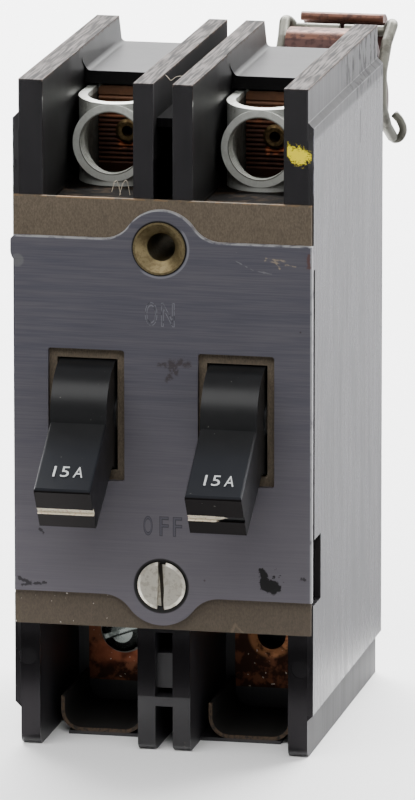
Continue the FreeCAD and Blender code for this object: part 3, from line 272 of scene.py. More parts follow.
# %% Case moulding
case_paint = Paint("black phenolic", eye_color(30, 30, 32), 0.2)
p = case_paint
p.set("IOR", 1.6)
aside = abs(p.x)
clouds = p.noise(7.0, 4.0)
grit = p.noise(0.45, 4.0)
upright = p.noise(0.6, 4.0, (1.0, 1.0, 0.05), shift=6.0)
tint = p.mix(eye_color(19, 18, 20), eye_color(38, 36, 39),
             clouds * 0.4 + upright.rise(0.3, 0.7) * 0.4)
print("case moulding: clouds of 7 mm and upright grain")

# %% [markdown]
# In the pockets the walls and the shelf get painted shade, darker than the rest of the case, and
# they are dull, with upright streaks of dust near the front; the fronts of the feet are black.
# Clear gloss would mirror too much of the white table here, so these faces are drawn as a metal
# with a nearly black colour: a metal mirrors in its own colour, and stays dark.

# %% Pockets and feet
FIN_SIDE = 24.6
SHELF_Z = 92.0
fin_top = p.z.rise(113.45, 113.65)
within = aside.rise(FIN_SIDE - 0.3, FIN_SIDE - 0.4)
inner_wall = within * p.y.rise(0.2, 0.6) * p.z.rise(90.0, 93.0) * (1 - fin_top)
low_wall = within * p.y.rise(0.2, 0.6) * p.z.rise(24.0, 21.0)
low_front = p.z.rise(24.0, 17.0) * p.y.rise(0.3, 0.05)
shelf = within * abs(p.z - SHELF_Z).rise(0.6, 0.2) * p.y.rise(1.0, 2.0) * p.y.rise(36.0, 34.0)
dust = shelf * p.noise(2.5, 5.0, shift=7.0).rise(0.46, 0.62)
slit = p.z.rise(100.0, 101.0) * aside.rise(1.75, 1.6)
dust_streaks = inner_wall * p.y.rise(5.0, 2.0) * upright.rise(0.5, 0.75)
# Painted shade darkens the inner walls behind the front and the shelf under the lugs.
tint = p.coats(tint,
               (eye_color(66, 60, 60), dust_streaks * 0.7),
               (eye_color(31, 29, 31), low_front),
               (eye_color(22, 21, 22), inner_wall * p.y.rise(2.0, 5.0)),
               (eye_color(16, 13, 11), shelf),
               (eye_color(60, 48, 37), dust))
print("pockets: dark walls, dusty shelf at", SHELF_Z, "mm")

# %% [markdown]
# The tops of the fins are rubbed to a streaky grey brown, with paler broken corners and one
# chipped edge on the right. The streaks are noise that is stretched along the fin, and the
# corners lie within 0.3 mm of a face of a fin, so the distance to the nearest face gives them.

# %% Fin tops
FIN_FACES = (20.5, 5.05, 1.65)
streaks = p.noise(0.35, 4.0, (1.0, 0.05, 1.0))
broken = p.noise(1.3, 5.0, shift=3.0, rough=0.65)
fin_edge = abs(aside - FIN_SIDE)
for face_x in FIN_FACES:
    fin_edge = fin_edge.least(abs(aside - face_x))
corner = p.z.rise(113.1, 113.4) * fin_edge.rise(0.3, 0.1) * broken.rise(0.48, 0.58)
chip = p.z.rise(112.7, 113.1) * abs(p.x - FIN_SIDE).rise(0.6, 0.3) * broken.rise(0.6, 0.64)
chip = chip * p.y.rise(12.0, 16.0)
rubbed = p.mix(eye_color(10, 9, 9), eye_color(66, 57, 53), streaks.rise(0.35, 0.65))
# A painted highlight runs down the front outer edges of the case, above 95 mm.
painted_edge_highlight = p.y.rise(0.25, 0.05) * aside.rise(25.4, 25.52) * p.z.rise(95.0, 96.0)
painted_edge_highlight = painted_edge_highlight * p.noise(2.0, 4.0, shift=4.0).rise(0.4, 0.6)
specks = p.noise(0.55, 1.0, shift=11.0).rise(0.79, 0.82)
tint = p.coats(tint,
               (eye_color(104, 104, 112), painted_edge_highlight),
               (rubbed, fin_top),
               (eye_color(88, 74, 66), corner * 0.8),
               (eye_color(10, 9, 9), chip),
               (eye_color(120, 112, 104), specks * 0.4))
print("fin tops: streaks of 0.35 mm along", 2 * len(FIN_FACES) + 2, "faces")

# %% [markdown]
# Somebody dabbed yellow paint on the front of the right outer fin. A dab is a slanting band
# with a ragged edge, narrow where the brush landed and wide where it was lifted. It could be
# a mesh of its own, but as a mask it stays as thin as paint.

# %% Yellow dab
dab_middle = 103.2 - p.x.rise(21.0, 22.8) * 0.8
dab_half = 0.9 + p.x.rise(21.0, 22.6) * 0.35 - p.x.rise(23.4, 25.2) * 1.0
dab_ragged = (p.noise(0.3, 5.0, (0.5, 1.0, 1.0), shift=2.0, rough=0.8) - 0.5) * 6.5
dab = (abs(p.z - dab_middle) + dab_ragged - dab_half).rise(0.2, -0.1)
dab = dab * p.x.rise(21.0, 21.15) * p.x.rise(25.35, 25.0) * p.y.rise(0.4, 0.2)
tint = p.mix(tint, eye_color(240, 220, 0), dab)
print("yellow dab: 4.3 mm wide on the right outer fin")

# %% [markdown]
# The outer sides shine, but years of handling have dulled them in places: long upright wipes
# all over, scrapes near the upper back corner, one scratch, a duller band above the step and
# a matt foot. They leave the colour alone and change how rough the gloss is, because such
# marks show in reflections only.

# %% Outer sides
side_wall = aside.rise(FIN_SIDE - 0.05, FIN_SIDE)
wipes = p.noise(1.2, 5.0, (1.0, 1.0, 0.05))
low_zone = p.z.rise(6.9, 6.5) * side_wall
scrapes = p.noise(1.6, 5.0, (1.0, 1.0, 0.35), shift=13.0, rough=0.7).rise(0.5, 0.62)
scrapes = scrapes * side_wall * p.z.rise(101.0, 108.0) * p.y.rise(24.0, 44.0)
scratch = abs(p.y - 40.5 - (p.z - 100.0) * 0.05).rise(0.5, 0.1)
scratch = scratch * abs(p.z - 100.0).rise(3.2, 2.4) * side_wall
upper_zone = p.z.rise(104.6, 105.6) * aside.rise(24.3, 24.5)
step = aside.rise(24.64, 24.7) * aside.rise(25.58, 25.5) * p.z.rise(100.0, 101.0)
side_wear = (side_wall * wipes * 0.2 + low_zone * 0.3 + scrapes * 0.4 + scratch * 0.3
             + upper_zone * 0.2 + step * 0.35)
print("outer sides: wipes, scrapes and one scratch")

# %% [markdown]
# All the wear of the case comes together here. Each kind could be a layer of its own, but a
# sum of shares is enough, because the kinds hardly overlap. The relief is about a hundredth
# of a millimetre deep: grit everywhere, wipes on the sides and streaks on the fin tops.

# %% Gloss of the case
pocket_wear = (inner_wall * (0.35 - p.y.rise(18.0, 24.0) * 0.1) + low_wall * 0.3 + shelf * 0.35
               + slit * 0.5)
top_wear = fin_top * (0.62 + streaks.rise(0.6, 0.4) * 0.28) + corner * 0.2
p.set("Base Color", tint)
p.set("Metallic", (low_front * 0.85).most(inner_wall.most(shelf) * 0.9))
p.set("Roughness", 0.14 + clouds * 0.08 + top_wear + pocket_wear + side_wear + dab * 0.3)
p.bump(grit * 0.35 + wipes * 0.65 * side_wall + streaks * fin_top * 2.0, 0.012)
print("case gloss: roughness from 0.14 up")

# %% [markdown]
# The faceplate is grey lacquer over brushed metal. Its sheared rim is bare and bright. The
# outline of the plate is a union of a straight edge, a round lobe and the hollow arc that
# blends the two, so the distance to the rim is the largest of three simple distances. The
# rim could be a painted map, but the distances use the same numbers as the solid and fit it.

# %% Rim of the faceplate
plate_paint = Paint("grey brushed lacquer", eye_color(80, 79, 87), 0.42, 0.2)
p = plate_paint
LOBE_Z, LOBE_R, BLEND_R, PLATE_TOP = 85.9, 6.8, 5.5, 87.5
BLEND_Z = PLATE_TOP + BLEND_R
BLEND_X = math.sqrt((LOBE_R + BLEND_R) ** 2 - (BLEND_Z - LOBE_Z) ** 2)
TANGENT_X = BLEND_X * LOBE_R / (LOBE_R + BLEND_R)
FAR = 50
from_lobe = p.reach(0.0, LOBE_Z)
from_blend = p.reach(BLEND_X, BLEND_Z, mirrored=True)
blend_zone = abs(p.x).rise(TANGENT_X - 0.01, TANGENT_X) * abs(p.x).rise(BLEND_X + 0.01, BLEND_X)
in_blend = from_blend - BLEND_R - (1 - blend_zone) * FAR
inside = (PLATE_TOP - p.z).most(LOBE_R - from_lobe).most(in_blend)
rim = inside.rise(0.28, 0.1) * p.noise(1.5, 3.0, shift=9.0).rise(0.3, 0.55)
right_rim = p.x.rise(25.3, 25.5) * p.noise(2.0, 3.0, shift=1.0).rise(0.25, 0.5)
print("blend arc centre", round(BLEND_X, 2), round(BLEND_Z, 2), "tangent at", round(TANGENT_X, 2))

# %% [markdown]
# Marks of use come next: a black spot of ink with splashes, a few thin golden and pale
# scratches and a dotted scuff above the right of the middle. Each is a short stroke whose
# edge is broken up by noise, because a mark on lacquer is never an even line.

# %% Spots and scratches on the faceplate
ragged = (p.noise(0.8, 5.0, rough=0.65) - 0.5) * 2.0
spike = p.stroke(17.2, 32.0, 18.0, 29.9, 0.3)
belly = p.stroke(17.9, 29.6, 19.3, 29.1, 0.95)
splash = p.noise(0.5, 1.0, shift=6.0).rise(0.68, 0.74) * p.reach(18.9, 30.4).rise(2.6, 1.6)
ink_spot = (spike.least(belly) + ragged).rise(0.3, 0.05).most(splash)
gold = p.stroke(17.7, 84.9, 22.9, 84.1, 0.0).least(p.stroke(17.9, 85.3, 21.2, 85.0, 0.0))
gold = gold.least(p.stroke(18.9, 85.6, 20.2, 83.6, 0.0))
gold = gold + (p.noise(0.6, 4.0, (0.6, 1.0, 1.0), shift=8.0) - 0.4) * 1.1
gold = gold.rise(0.26, 0.05)
pale = p.stroke(12.6, 84.7, 15.7, 83.2, 0.0).least(p.stroke(15.7, 83.2, 18.8, 82.7, 0.0))
pale = pale.least(p.stroke(12.8, 86.1, 13.1, 85.6, 0.0))
pale = (pale + (p.noise(0.8, 3.0, shift=14.0) - 0.45) * 0.8).rise(0.12, 0.0)
scuff = p.stroke(-0.2, 66.4, 4.8, 66.7, 0.15).least(p.stroke(1.0, 64.0, 3.6, 67.4, 0.1))
scuff = scuff.least(p.reach(1.8, 66.5) - 0.6).least(p.stroke(2.0, 66.4, 2.5, 65.0, 0.1))
scuff = (scuff + (p.noise(0.8, 5.0, shift=4.0, rough=0.75) - 0.46) * 3.0).rise(0.6, 0.0)
print("faceplate marks: ink spot, golden and pale scratches, scuff")

# %% [markdown]
# Dirt gathers at the corners of the plate, and the right edge shows a touch of rust. The
# countersinks round the eyelet and the screw get painted shade, and the lower left of the
# eyelet's bevel a painted highlight; these are rings of one distance each.

# %% Corners and gaps of the faceplate
EYELET = (-0.25, 86.2)
PLATE_SCREW = (0.0, 28.5)
corner_mark = p.stroke(-24.4, 28.7, -22.4, 27.9, 0.1).least(p.stroke(-24.0, 27.6, -19.8, 28.2, 0.0))
corner_mark = corner_mark.least(p.stroke(24.0, 30.9, 24.5, 30.6, 0.05))
corner_mark = corner_mark.least(p.stroke(-20.8, 37.3, -20.3, 36.9, 0.1))
corner_mark = (corner_mark + (p.noise(0.6, 3.0, shift=12.0) - 0.5) * 1.2).rise(0.3, 0.05)
rust = (p.stroke(25.1, 84.0, 25.1, 86.0, 0.15) + (p.noise(0.5, 3.0) - 0.5) * 0.8).rise(0.25, 0.05)
pits = p.reach(23.7, 73.0).least(p.reach(7.4, 29.8)).rise(0.22, 0.1)
bruise = p.reach(-24.5, 83.3).rise(1.3, 0.9)
from_eyelet = p.reach(*EYELET)
painted_gap_shade = from_eyelet.rise(4.85, 4.6).most(p.reach(*PLATE_SCREW).rise(4.85, 4.6))
painted_bevel_highlight = from_eyelet.rise(5.2, 5.0) * (p.z - p.x - 86.0).rise(0.5, -1.5)
print("faceplate gaps: rings out to 4.85 and 5.2 mm")

# %% [markdown]
# The lacquer itself lies over metal that was brushed sideways, so fine and broad lines run
# along x. The plate grows a little lighter towards its foot. The marks go on as coats, the
# light ones first and the dark ones over them.

# %% Faceplate lacquer
lines = p.noise(0.17, 2.0, (0.02, 1.0, 1.0))
broad = p.noise(1.1, 3.0, (0.03, 1.0, 1.0), shift=5.0)
wear = p.noise(9.0, 5.0)
tint = p.mix(eye_color(68, 68, 79), eye_color(88, 86, 93),
             broad.rise(0.3, 0.7) * 0.35 + lines.rise(0.3, 0.7) * 0.65)
plate_coats = [(eye_color(104, 99, 104), p.z.rise(75.0, 30.0) * 0.5 + wear * 0.15),
               (eye_color(120, 120, 118), bruise * 0.4),
               (eye_color(128, 126, 128), pale * 0.6),
               # painted highlight on the lower left of the eyelet's bevel
               (eye_color(140, 140, 148), painted_bevel_highlight * 0.6),
               (eye_color(176, 176, 178), rim.most(right_rim) * 0.8),
               (eye_color(150, 136, 116), gold * 0.8),
               (eye_color(52, 42, 42), scuff.most(pits) * 0.7),
               (eye_color(84, 48, 40), rust * 0.7),
               # the last coat also holds the painted shade of the countersinks
               (eye_color(14, 12, 13), ink_spot.most(corner_mark * 0.8).most(painted_gap_shade))]
p.set("Base Color", p.coats(tint, *plate_coats))
p.set("Roughness", 0.36 + lines * 0.12 + painted_gap_shade * 0.3)
p.bump(lines * 0.8 + broad * 0.2, 0.01)
print("faceplate lacquer: brushed lines under", len(plate_coats), "coats")

# %% [markdown]
# Vulcanised fibre is layered paper pulp. It is matt, has a faint upright weave and turns tan
# where its edge is cut; its lowest part, below 36 mm, gets painted shade. Two noises, one fine
# and one coarse, come closer to pulp than a regular weave pattern would.

# %% Fibre finish
fibre_paint = Paint("brown fibre", eye_color(98, 88, 74), 0.85)
p = fibre_paint
weave = p.noise(0.22, 4.0, (1.0, 1.0, 0.5), rough=0.6)
pulp = p.noise(1.6, 4.0, (1.0, 1.0, 0.5), shift=3.0)
upper_edge = abs(p.z - 94.2).rise(0.26, 0.1) * p.y.rise(0.5, 0.1)
bow = (p.x + 18.3).rise(0.0, 0.6) * (p.x + 8.4).rise(0.5, 0.0)
cut_edge = upper_edge * (bow.most(p.noise(1.6, 4.0, shift=5.0).rise(0.48, 0.58) * 0.7))
nick = p.stroke(12.4, 22.2, 11.9, 20.9, 0.05).least(p.stroke(12.5, 22.1, 13.8, 20.8, 0.0))
nick = (nick + (p.noise(0.5, 2.0) - 0.5) * 0.3).rise(0.25, 0.1)
lint = p.noise(0.5, 0.0, shift=21.0).rise(0.82, 0.85)
lint = lint * p.z.rise(34.0, 30.0) * p.x.rise(-8.0, -12.0)
tint = p.mix(eye_color(70, 61, 50), eye_color(106, 94, 78),
             weave.rise(0.25, 0.75) * 0.7 + pulp * 0.3)
# the first coat is painted shade on the lowest part of the fibre
p.set("Base Color", p.coats(tint,
                            (eye_color(56, 48, 39), p.z.rise(36.0, 30.0) * 0.6),
                            (eye_color(132, 104, 72), cut_edge * 0.8),
                            (eye_color(98, 86, 70), nick * 0.6),
                            (eye_color(190, 184, 172), lint * 0.7)))
p.bump(weave, 0.03)
print("fibre finish: weave of 0.22 mm over pulp of 1.6 mm")

# %% [markdown]
# The trays in the lower pockets are the same fibre, painted dark as the shade of the pockets, and
# only their front cut edge keeps the brown of the fibre. They get a paint of their own, because
# the painted shade covers the whole piece.

# %% Tray finish
tray_paint = Paint("fibre in painted shade", eye_color(24, 19, 15), 0.8)
p = tray_paint
tray_front = p.y.rise(9.0, 8.7) * p.noise(0.4, 3.0).rise(0.3, 0.6)
# painted shade over the tray, brown only at its front cut edge
p.set("Base Color", p.mix(eye_color(16, 13, 10), eye_color(70, 54, 38), tray_front))
p.bump(p.noise(0.4, 3.0), 0.02)
print("tray finish: brown cut edge in front")

# %% [markdown]
# The toggles are satin phenolic. Their own frame leans by the rest angle, so a place on them
# is found with two sums of y and z: along, from pin to nose, and across, through the
# thickness. The left nose groove is full of cream paint, the right one has lost a quarter.

# %% Handle frame and stripe
HANDLE_LEAN = math.radians(33.0)
PIN = (1.05, 57.4)
STRIPE = -0.45
handle_paint = Paint("satin phenolic", eye_color(24, 25, 26), 0.3)
p = handle_paint
p.set("Specular IOR Level", 0.2)
from_pin_y, from_pin_z = p.y - PIN[0], p.z - PIN[1]
along = from_pin_y * -math.cos(HANDLE_LEAN) + from_pin_z * -math.sin(HANDLE_LEAN)
across = from_pin_y * -math.sin(HANDLE_LEAN) + from_pin_z * math.cos(HANDLE_LEAN)
from_stripe = abs(across - STRIPE)
paint_half = 0.68 - (p.x - (POLE - 0.5)).rise(0.0, 3.2) * 0.8
chips = (p.noise(0.5, 3.0) - 0.5) * 0.16
stripe = (from_stripe + chips - paint_half).rise(0.06, -0.06) * along.rise(22.6, 22.8)
nose = along.rise(22.9, 23.1) * (1 - stripe)
groove = nose * from_stripe.rise(0.75, 0.65)
print("handle stripe: 1.4 mm wide, full on the left and worn on the right")

# %% [markdown]
# The rest of the toggle is dull black with some grime from fingers, a painted reflection of
# bluish grey on the slope towards the nose, painted shade in the empty part of the nose groove
# and a little lint. The nose itself has to stay dark beside the cream stripe, so it is drawn as
# a dark metal, like the walls of the pockets.

# %% Handle finish
grime = p.noise(3.0, 5.0)
fine = p.noise(0.3, 4.0)
lint = p.noise(0.4, 0.0, shift=4.0).rise(0.86, 0.89)
painted_slope_reflection = across.rise(3.6, 4.4) * along.rise(9.0, 17.0)
cream = p.mix(eye_color(206, 160, 140), eye_color(236, 228, 206), fine.rise(0.25, 0.5))
tint = p.mix(eye_color(20, 21, 22), eye_color(32, 32, 33), grime * 0.6 + fine * 0.3)
# coats: painted reflection on the front slope, painted shade in the empty groove
p.set("Base Color", p.coats(tint,
                            (eye_color(38, 40, 45), painted_slope_reflection * 0.8),
                            (eye_color(26, 24, 24), nose),
                            (eye_color(12, 9, 9), groove),
                            (eye_color(120, 118, 112), lint * 0.6),
                            (cream, stripe)))
p.set("Metallic", nose * 0.9)
p.set("Roughness", 0.24 + grime * 0.16 + stripe * 0.3)
p.bump(fine, 0.008)
print("handle finish: satin, with grime of 3 mm")

# %% [markdown]
# Metals differ in colour and in how even their polish is, so one function makes them all
# from a colour, a darker tarnish and two roughness values.

# %% Metal finishes


def metal(name, clean, tarnish, polish, dull, blotch=2.5, cover=0.5, relief=0.01, shine=1.0):
    """Clean metal under clouds of tarnish; cover is the share that is tarnished."""
    paint = Paint(name, clean, polish, shine)
    film = paint.noise(blotch, 5.0, rough=0.65).rise(0.66 - 0.4 * cover, 0.74 - 0.3 * cover)
    paint.tint = paint.mix(clean, tarnish, film)
    paint.set("Base Color", paint.tint)
    paint.set("Roughness", polish + film * (dull - polish))
    paint.bump(paint.noise(0.35, 3.0), relief)
    return paint


brass = metal("aged brass", eye_color(134, 121, 90), eye_color(118, 105, 78), 0.45, 0.5, 0.7)
rivet_brass = metal("dull rivet brass", eye_color(96, 80, 54), eye_color(66, 53, 35),
                    0.5, 0.6, 0.7, 0.6)
dark_steel = metal("dull steel", eye_color(104, 102, 98), eye_color(60, 57, 52), 0.35, 0.55)
wire_steel = metal("spring wire", eye_color(104, 103, 94), eye_color(78, 76, 68),
                   0.42, 0.55, 4.0, 0.4, shine=0.6)
silver = metal("contact silver", eye_color(208, 206, 200), eye_color(120, 116, 108), 0.3, 0.5)
bright_steel = metal("bright screw", eye_color(128, 134, 130), eye_color(92, 98, 94),
                     0.24, 0.32, 5.0, 0.4, relief=0.003)
print("six plain metals")

# %% [markdown]
# The wire lugs are zinc plated. Their ring has a thread inside, whose turns are drawn as lines
# of painted shade 0.8 mm apart; the inside of the shell is painted darker for its shade and
# dirt, and the zinc in front of 21 mm, outside the bore, gets a painted highlight. Real turns
# would cost thousands of faces for lines that are a fraction of a millimetre wide.

# %% Zinc of the wire lugs
LUG_SHIFT, LUG_Z = 0.45, 99.4
THREAD_PITCH = 0.8
zinc = metal("zinc plated steel", eye_color(196, 199, 192), eye_color(166, 168, 159),
             0.36, 0.5, 1.8, shine=0.45)
p = zinc
left_lug, right_lug = -POLE - LUG_SHIFT, POLE - LUG_SHIFT
in_ring = p.reach(left_lug, LUG_Z).least(p.reach(right_lug, LUG_Z)).rise(5.6, 5.4)
turns = p.node("ShaderNodeMath", {"operation": "FRACT"}, p.y / THREAD_PITCH)
from_axis = abs(p.x - left_lug).least(abs(p.x - right_lug))
in_shell = from_axis.rise(5.7, 5.5) * p.y.rise(23.0, 24.0) * p.z.rise(105.7, 105.5)
# coats: painted shade of the thread turns, painted highlight in front, painted shade and dirt in the
# shell
p.set("Base Color", p.coats(p.tint,
                            (eye_color(96, 94, 86), in_ring * abs(turns - 0.5).rise(0.2, 0.4) * 0.8),
                            (eye_color(224, 226, 220), (1 - in_ring) * p.y.rise(22.0, 21.0) * 0.6),
                            (eye_color(84, 83, 78), in_shell * 0.85)))
print("zinc: thread turns every", THREAD_PITCH, "mm")

# %% [markdown]
# The copper of the jaw gets painted shade below its rolled rim, and the slot of the plate screw
# is painted dark as shade. Both are one mask over a metal from the same function.

# %% Jaw copper and plate screw
jaw_line = sum(corner.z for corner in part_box("rear_jaw_spring")) / 2 / MM - FOOT
jaw_copper = metal("aged copper sheet", eye_color(100, 66, 52), eye_color(72, 48, 42),
                   0.45, 0.6, 1.4, shine=0.6)
p = jaw_copper
# painted shade below the rolled rim
shade_under_rim = p.z.rise(jaw_line + 8.5, jaw_line + 8.1)
p.set("Base Color", p.mix(p.tint, eye_color(48, 26, 26), shade_under_rim * 0.8))

screw_steel = metal("nickel plated steel", eye_color(216, 211, 198), eye_color(192, 185, 170),
                    0.34, 0.42, 0.8, 0.45, shine=0.7)
p = screw_steel
# painted shade in the slot of the plate screw
slot_shade = abs(p.x + 0.05 + (p.z - PLATE_SCREW[1]) * 0.06).rise(0.36, 0.24)
p.set("Base Color", p.mix(p.tint, eye_color(58, 53, 46), slot_shade))
print("jaw middle at", round(jaw_line, 2), "mm")

# %% [markdown]
# The terminal straps are copper gone dark brown. Where a screw pressed round the empty hole the
# metal is bare and bright, so they get a paint of their own: a bare ring round the empty screw
# hole, a painted highlight on the left strap below its screw, a painted highlight below each
# rivet, and painted shade between 90 and 101.6 mm, over the ribs.

# %% Strap copper
LOAD_HOLE = (POLE, 13.3)
strap_copper = metal("tarnished copper", eye_color(112, 68, 46), eye_color(62, 38, 27),
                     0.34, 0.55, 3.0, 0.6, shine=0.8)
p = strap_copper
load_zone = p.z.rise(20.0, 18.0)
bare_ring = p.reach(*LOAD_HOLE).rise(4.3, 3.6) * p.z.rise(25.0, 22.0)
bare_ring = bare_ring * p.noise(0.9, 4.0).rise(0.3, 0.5)
# painted highlight on the left strap below its screw
left_strap_highlight = p.stroke(-16.5, 8.9, -8.0, 10.2, 0.6) + (p.noise(1.5, 4.0) - 0.5) * 2.0
left_strap_highlight = left_strap_highlight.rise(2.4, 0.4) * load_zone
# painted highlight below each rivet
rivet_highlight = p.stroke(-POLE - 1.6, 96.8, -POLE + 1.4, 97.2, 0.3)
rivet_highlight = rivet_highlight.least(p.stroke(POLE - 1.4, 96.6, POLE + 1.6, 97.0, 0.3))
rivet_highlight = (rivet_highlight + (p.noise(0.8, 4.0, shift=2.0) - 0.46) * 2.0).rise(0.7, 0.1)
strap_top = p.z.rise(101.0, 104.0)
# painted shade over the ribs, between 90 and 101.6 mm
rib_shade = p.z.rise(90.0, 91.0) * p.z.rise(101.6, 101.0)
crumbs = p.noise(0.5, 0.0, shift=9.0).rise(0.79, 0.82) * load_zone
p.set("Base Color", p.coats(p.tint,
                            (eye_color(44, 24, 17), rib_shade * 0.85),
                            (eye_color(92, 62, 42), strap_top * 0.8),
                            (eye_color(176, 120, 80), bare_ring * 0.9),
                            (eye_color(150, 84, 58), left_strap_highlight * 0.8),
                            (eye_color(158, 92, 60), rivet_highlight),
                            (eye_color(216, 200, 180), crumbs)))
p.set("Metallic", 0.8 - strap_top * 0.3)
print("strap copper: bare ring of 3.6 mm round the empty hole")

# %% [markdown]
# Every solid now gets its finish. Left and right pieces share one, so the start of a name is
# enough to choose it, and the longest start that fits wins. Pins, plates and screws that no
# line names are dull steel.

# %% Give every solid its finish
FINISHES = {
    case_paint: ["case", "trip_bar"],
    plate_paint: ["faceplate"],
    fibre_paint: ["fibre_sheet", "arc_chute"],
    tray_paint: ["pocket_liner"],
    handle_paint: ["toggle_handle"],
    zinc: ["line_lug", "mechanism_frame", "toggle_yoke", "trip_lever", "load_washer"],
    brass: ["mounting_eyelet", "screw_insert", "calibration_screw", "bimetal"],
    rivet_brass: ["line_rivet"],
    strap_copper: ["line_strap", "load_strap", "contact_arm", "braid"],
    jaw_copper: ["rear_jaw_upper", "rear_jaw_lower"],
    screw_steel: ["faceplate_screw"],
    bright_steel: ["load_screw"],
    wire_steel: ["rear_jaw_spring", "toggle_spring"],
    silver: ["fixed_contact", "moving_contact"],
}

for name, node in nodes.items():
    chosen = dark_steel
    longest = 0
    for paint, starts in FINISHES.items():
        for start in starts:
            if name.startswith(start) and len(start) > longest:
                chosen = paint
                longest = len(start)
    node.data.materials.clear()
    node.data.materials.append(chosen.material)
print("dressed", len(nodes), "solids")

# %% [markdown]
# Generic words stand on the object: ON and OFF on the plate and the rating on each toggle.
# Letters could be a mask, but their outlines are easier to take from a font. Each letter
# starts as a text curve, becomes a thin mesh, and is then fitted to a box.

# %% How a word is made


def words(name, text, box_size, thickness, matrix, paint, body, fatter=0.0):
    """Raised lettering that fills box_size, its width and height in millimetres.

    The matrix carries it from the plane of x and y to its place on the object.
    """
    curve = bpy.data.curves.new(name, "FONT")
    curve.body = text
    curve.size = 1.0
    curve.extrude = 0.5
    curve.offset = fatter
    curve.resolution_u = 4
    holder = bpy.data.objects.new(name, curve)
    bpy.context.scene.collection.objects.link(holder)
    graph = bpy.context.evaluated_depsgraph_get()
    mesh = bpy.data.meshes.new_from_object(holder.evaluated_get(graph))
    bpy.data.objects.remove(holder)
    points = np.empty(len(mesh.vertices) * 3, np.float32)
    mesh.vertices.foreach_get("co", points)
    points = points.reshape(-1, 3)
    middle = (points.max(0) + points.min(0)) / 2
    wanted = np.array([box_size[0], box_size[1], thickness]) * MM
    points = (points - middle) * (wanted / np.ptp(points, axis=0))
    mesh.vertices.foreach_set("co", points.astype(np.float32).ravel())
    mesh.transform(matrix)
    made = bpy.data.objects.new(name, mesh)
    bpy.context.scene.collection.objects.link(made)
    made.data.materials.append(paint.material)
    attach(made, body)


print("a word is a font outline in a box")

# %% [markdown]
# ON and OFF are engraved in the plate. A cut as thin as that would hardly show at this size,
# so each letter is drawn twice: an outline in the shade of the cut, and over it a slightly
# smaller face in the colour of the plate.

# %% Words on the plate
facing = Matrix.Rotation(math.pi / 2, 4, "X")
engraved = Paint("engraved shade", eye_color(58, 57, 64), 0.5, 0.2)
engraved.set("Base Color", engraved.mix(eye_color(60, 59, 66), eye_color(112, 111, 118),
                                        engraved.noise(0.8, 3.0).rise(0.38, 0.52)))
shade = Paint("engraved dark shade", eye_color(60, 58, 64), 0.5, 0.2)
worn_face = Paint("worn letter face", eye_color(80, 79, 88), 0.42, 0.2)
LETTERS = [("on", "O", engraved, 2.15, 4.1, -1.65, 75.05), ("on", "N", engraved, 2.3, 4.1, 1.2, 75.0),
           ("off", "O", shade, 1.6, 3.4, -2.25, 38.8), ("off", "F", shade, 1.6, 3.4, 0.5, 38.8),
           ("off", "F", shade, 1.6, 3.4, 2.8, 38.8)]
for index, (word, letter, ink, wide, high, x, z) in enumerate(LETTERS):
    place = Matrix.Translation(spot(x, PLATE_FACE, z)) @ facing
    words("%s_outline_%d" % (word, index), letter, (wide, high), 0.03, place, ink, "case", 0.02)
    face_size = (wide - 0.28, high - 0.3)
    words("%s_face_%d" % (word, index), letter, face_size, 0.05, place, worn_face, "case", -0.02)
print("letters on the plate:", len(LETTERS))

# %% [markdown]
# The rating is printed on the front slope of each toggle in silver. It belongs to the
# toggle's body, so that it swings along, and it leans by the rest angle of the toggle.

# %% Rating on each toggle
silver_print = Paint("silver print", eye_color(214, 216, 216), 0.4, 0.1)
FACE_RISE, SIGN_HIGH, SIGN_TILT = 4.73, 2.45, -0.03
SIGNS = (("one", "1", 0.36, -2.3), ("five", "5", 1.4, -0.5), ("unit", "A", 1.6, 1.8))
lean = Matrix.Rotation(HANDLE_LEAN, 4, "X")
for side, x, reach in (("left", -POLE + 0.35, 18.9), ("right", POLE + 0.45, 19.35)):
    for name, letter, wide, shift in SIGNS:
        local = Matrix.Translation(Vector((shift * MM, -reach * MM, FACE_RISE * MM)))
        tilt = Matrix.Rotation(SIGN_TILT, 4, "X")
        matrix = Matrix.Translation(spot(x, *PIN)) @ lean @ local @ tilt
        words("rating_%s_%s" % (name, side), letter, (wide, SIGN_HIGH), 0.05, matrix,
              silver_print, "handle_" + side)
print("signs on the toggles:", 2 * len(SIGNS))

# %% [markdown]
# The spring wire of the jaw ends in a small hook, and a few hairs of cleaning cloth hang on
# the fibre and on a fin. Both are round threads along a smooth line, so one function makes
# them. A few places are enough, because the line between them is a cubic that is smooth
# where two pieces meet.

# %% How a thread is made
RINGS = 48


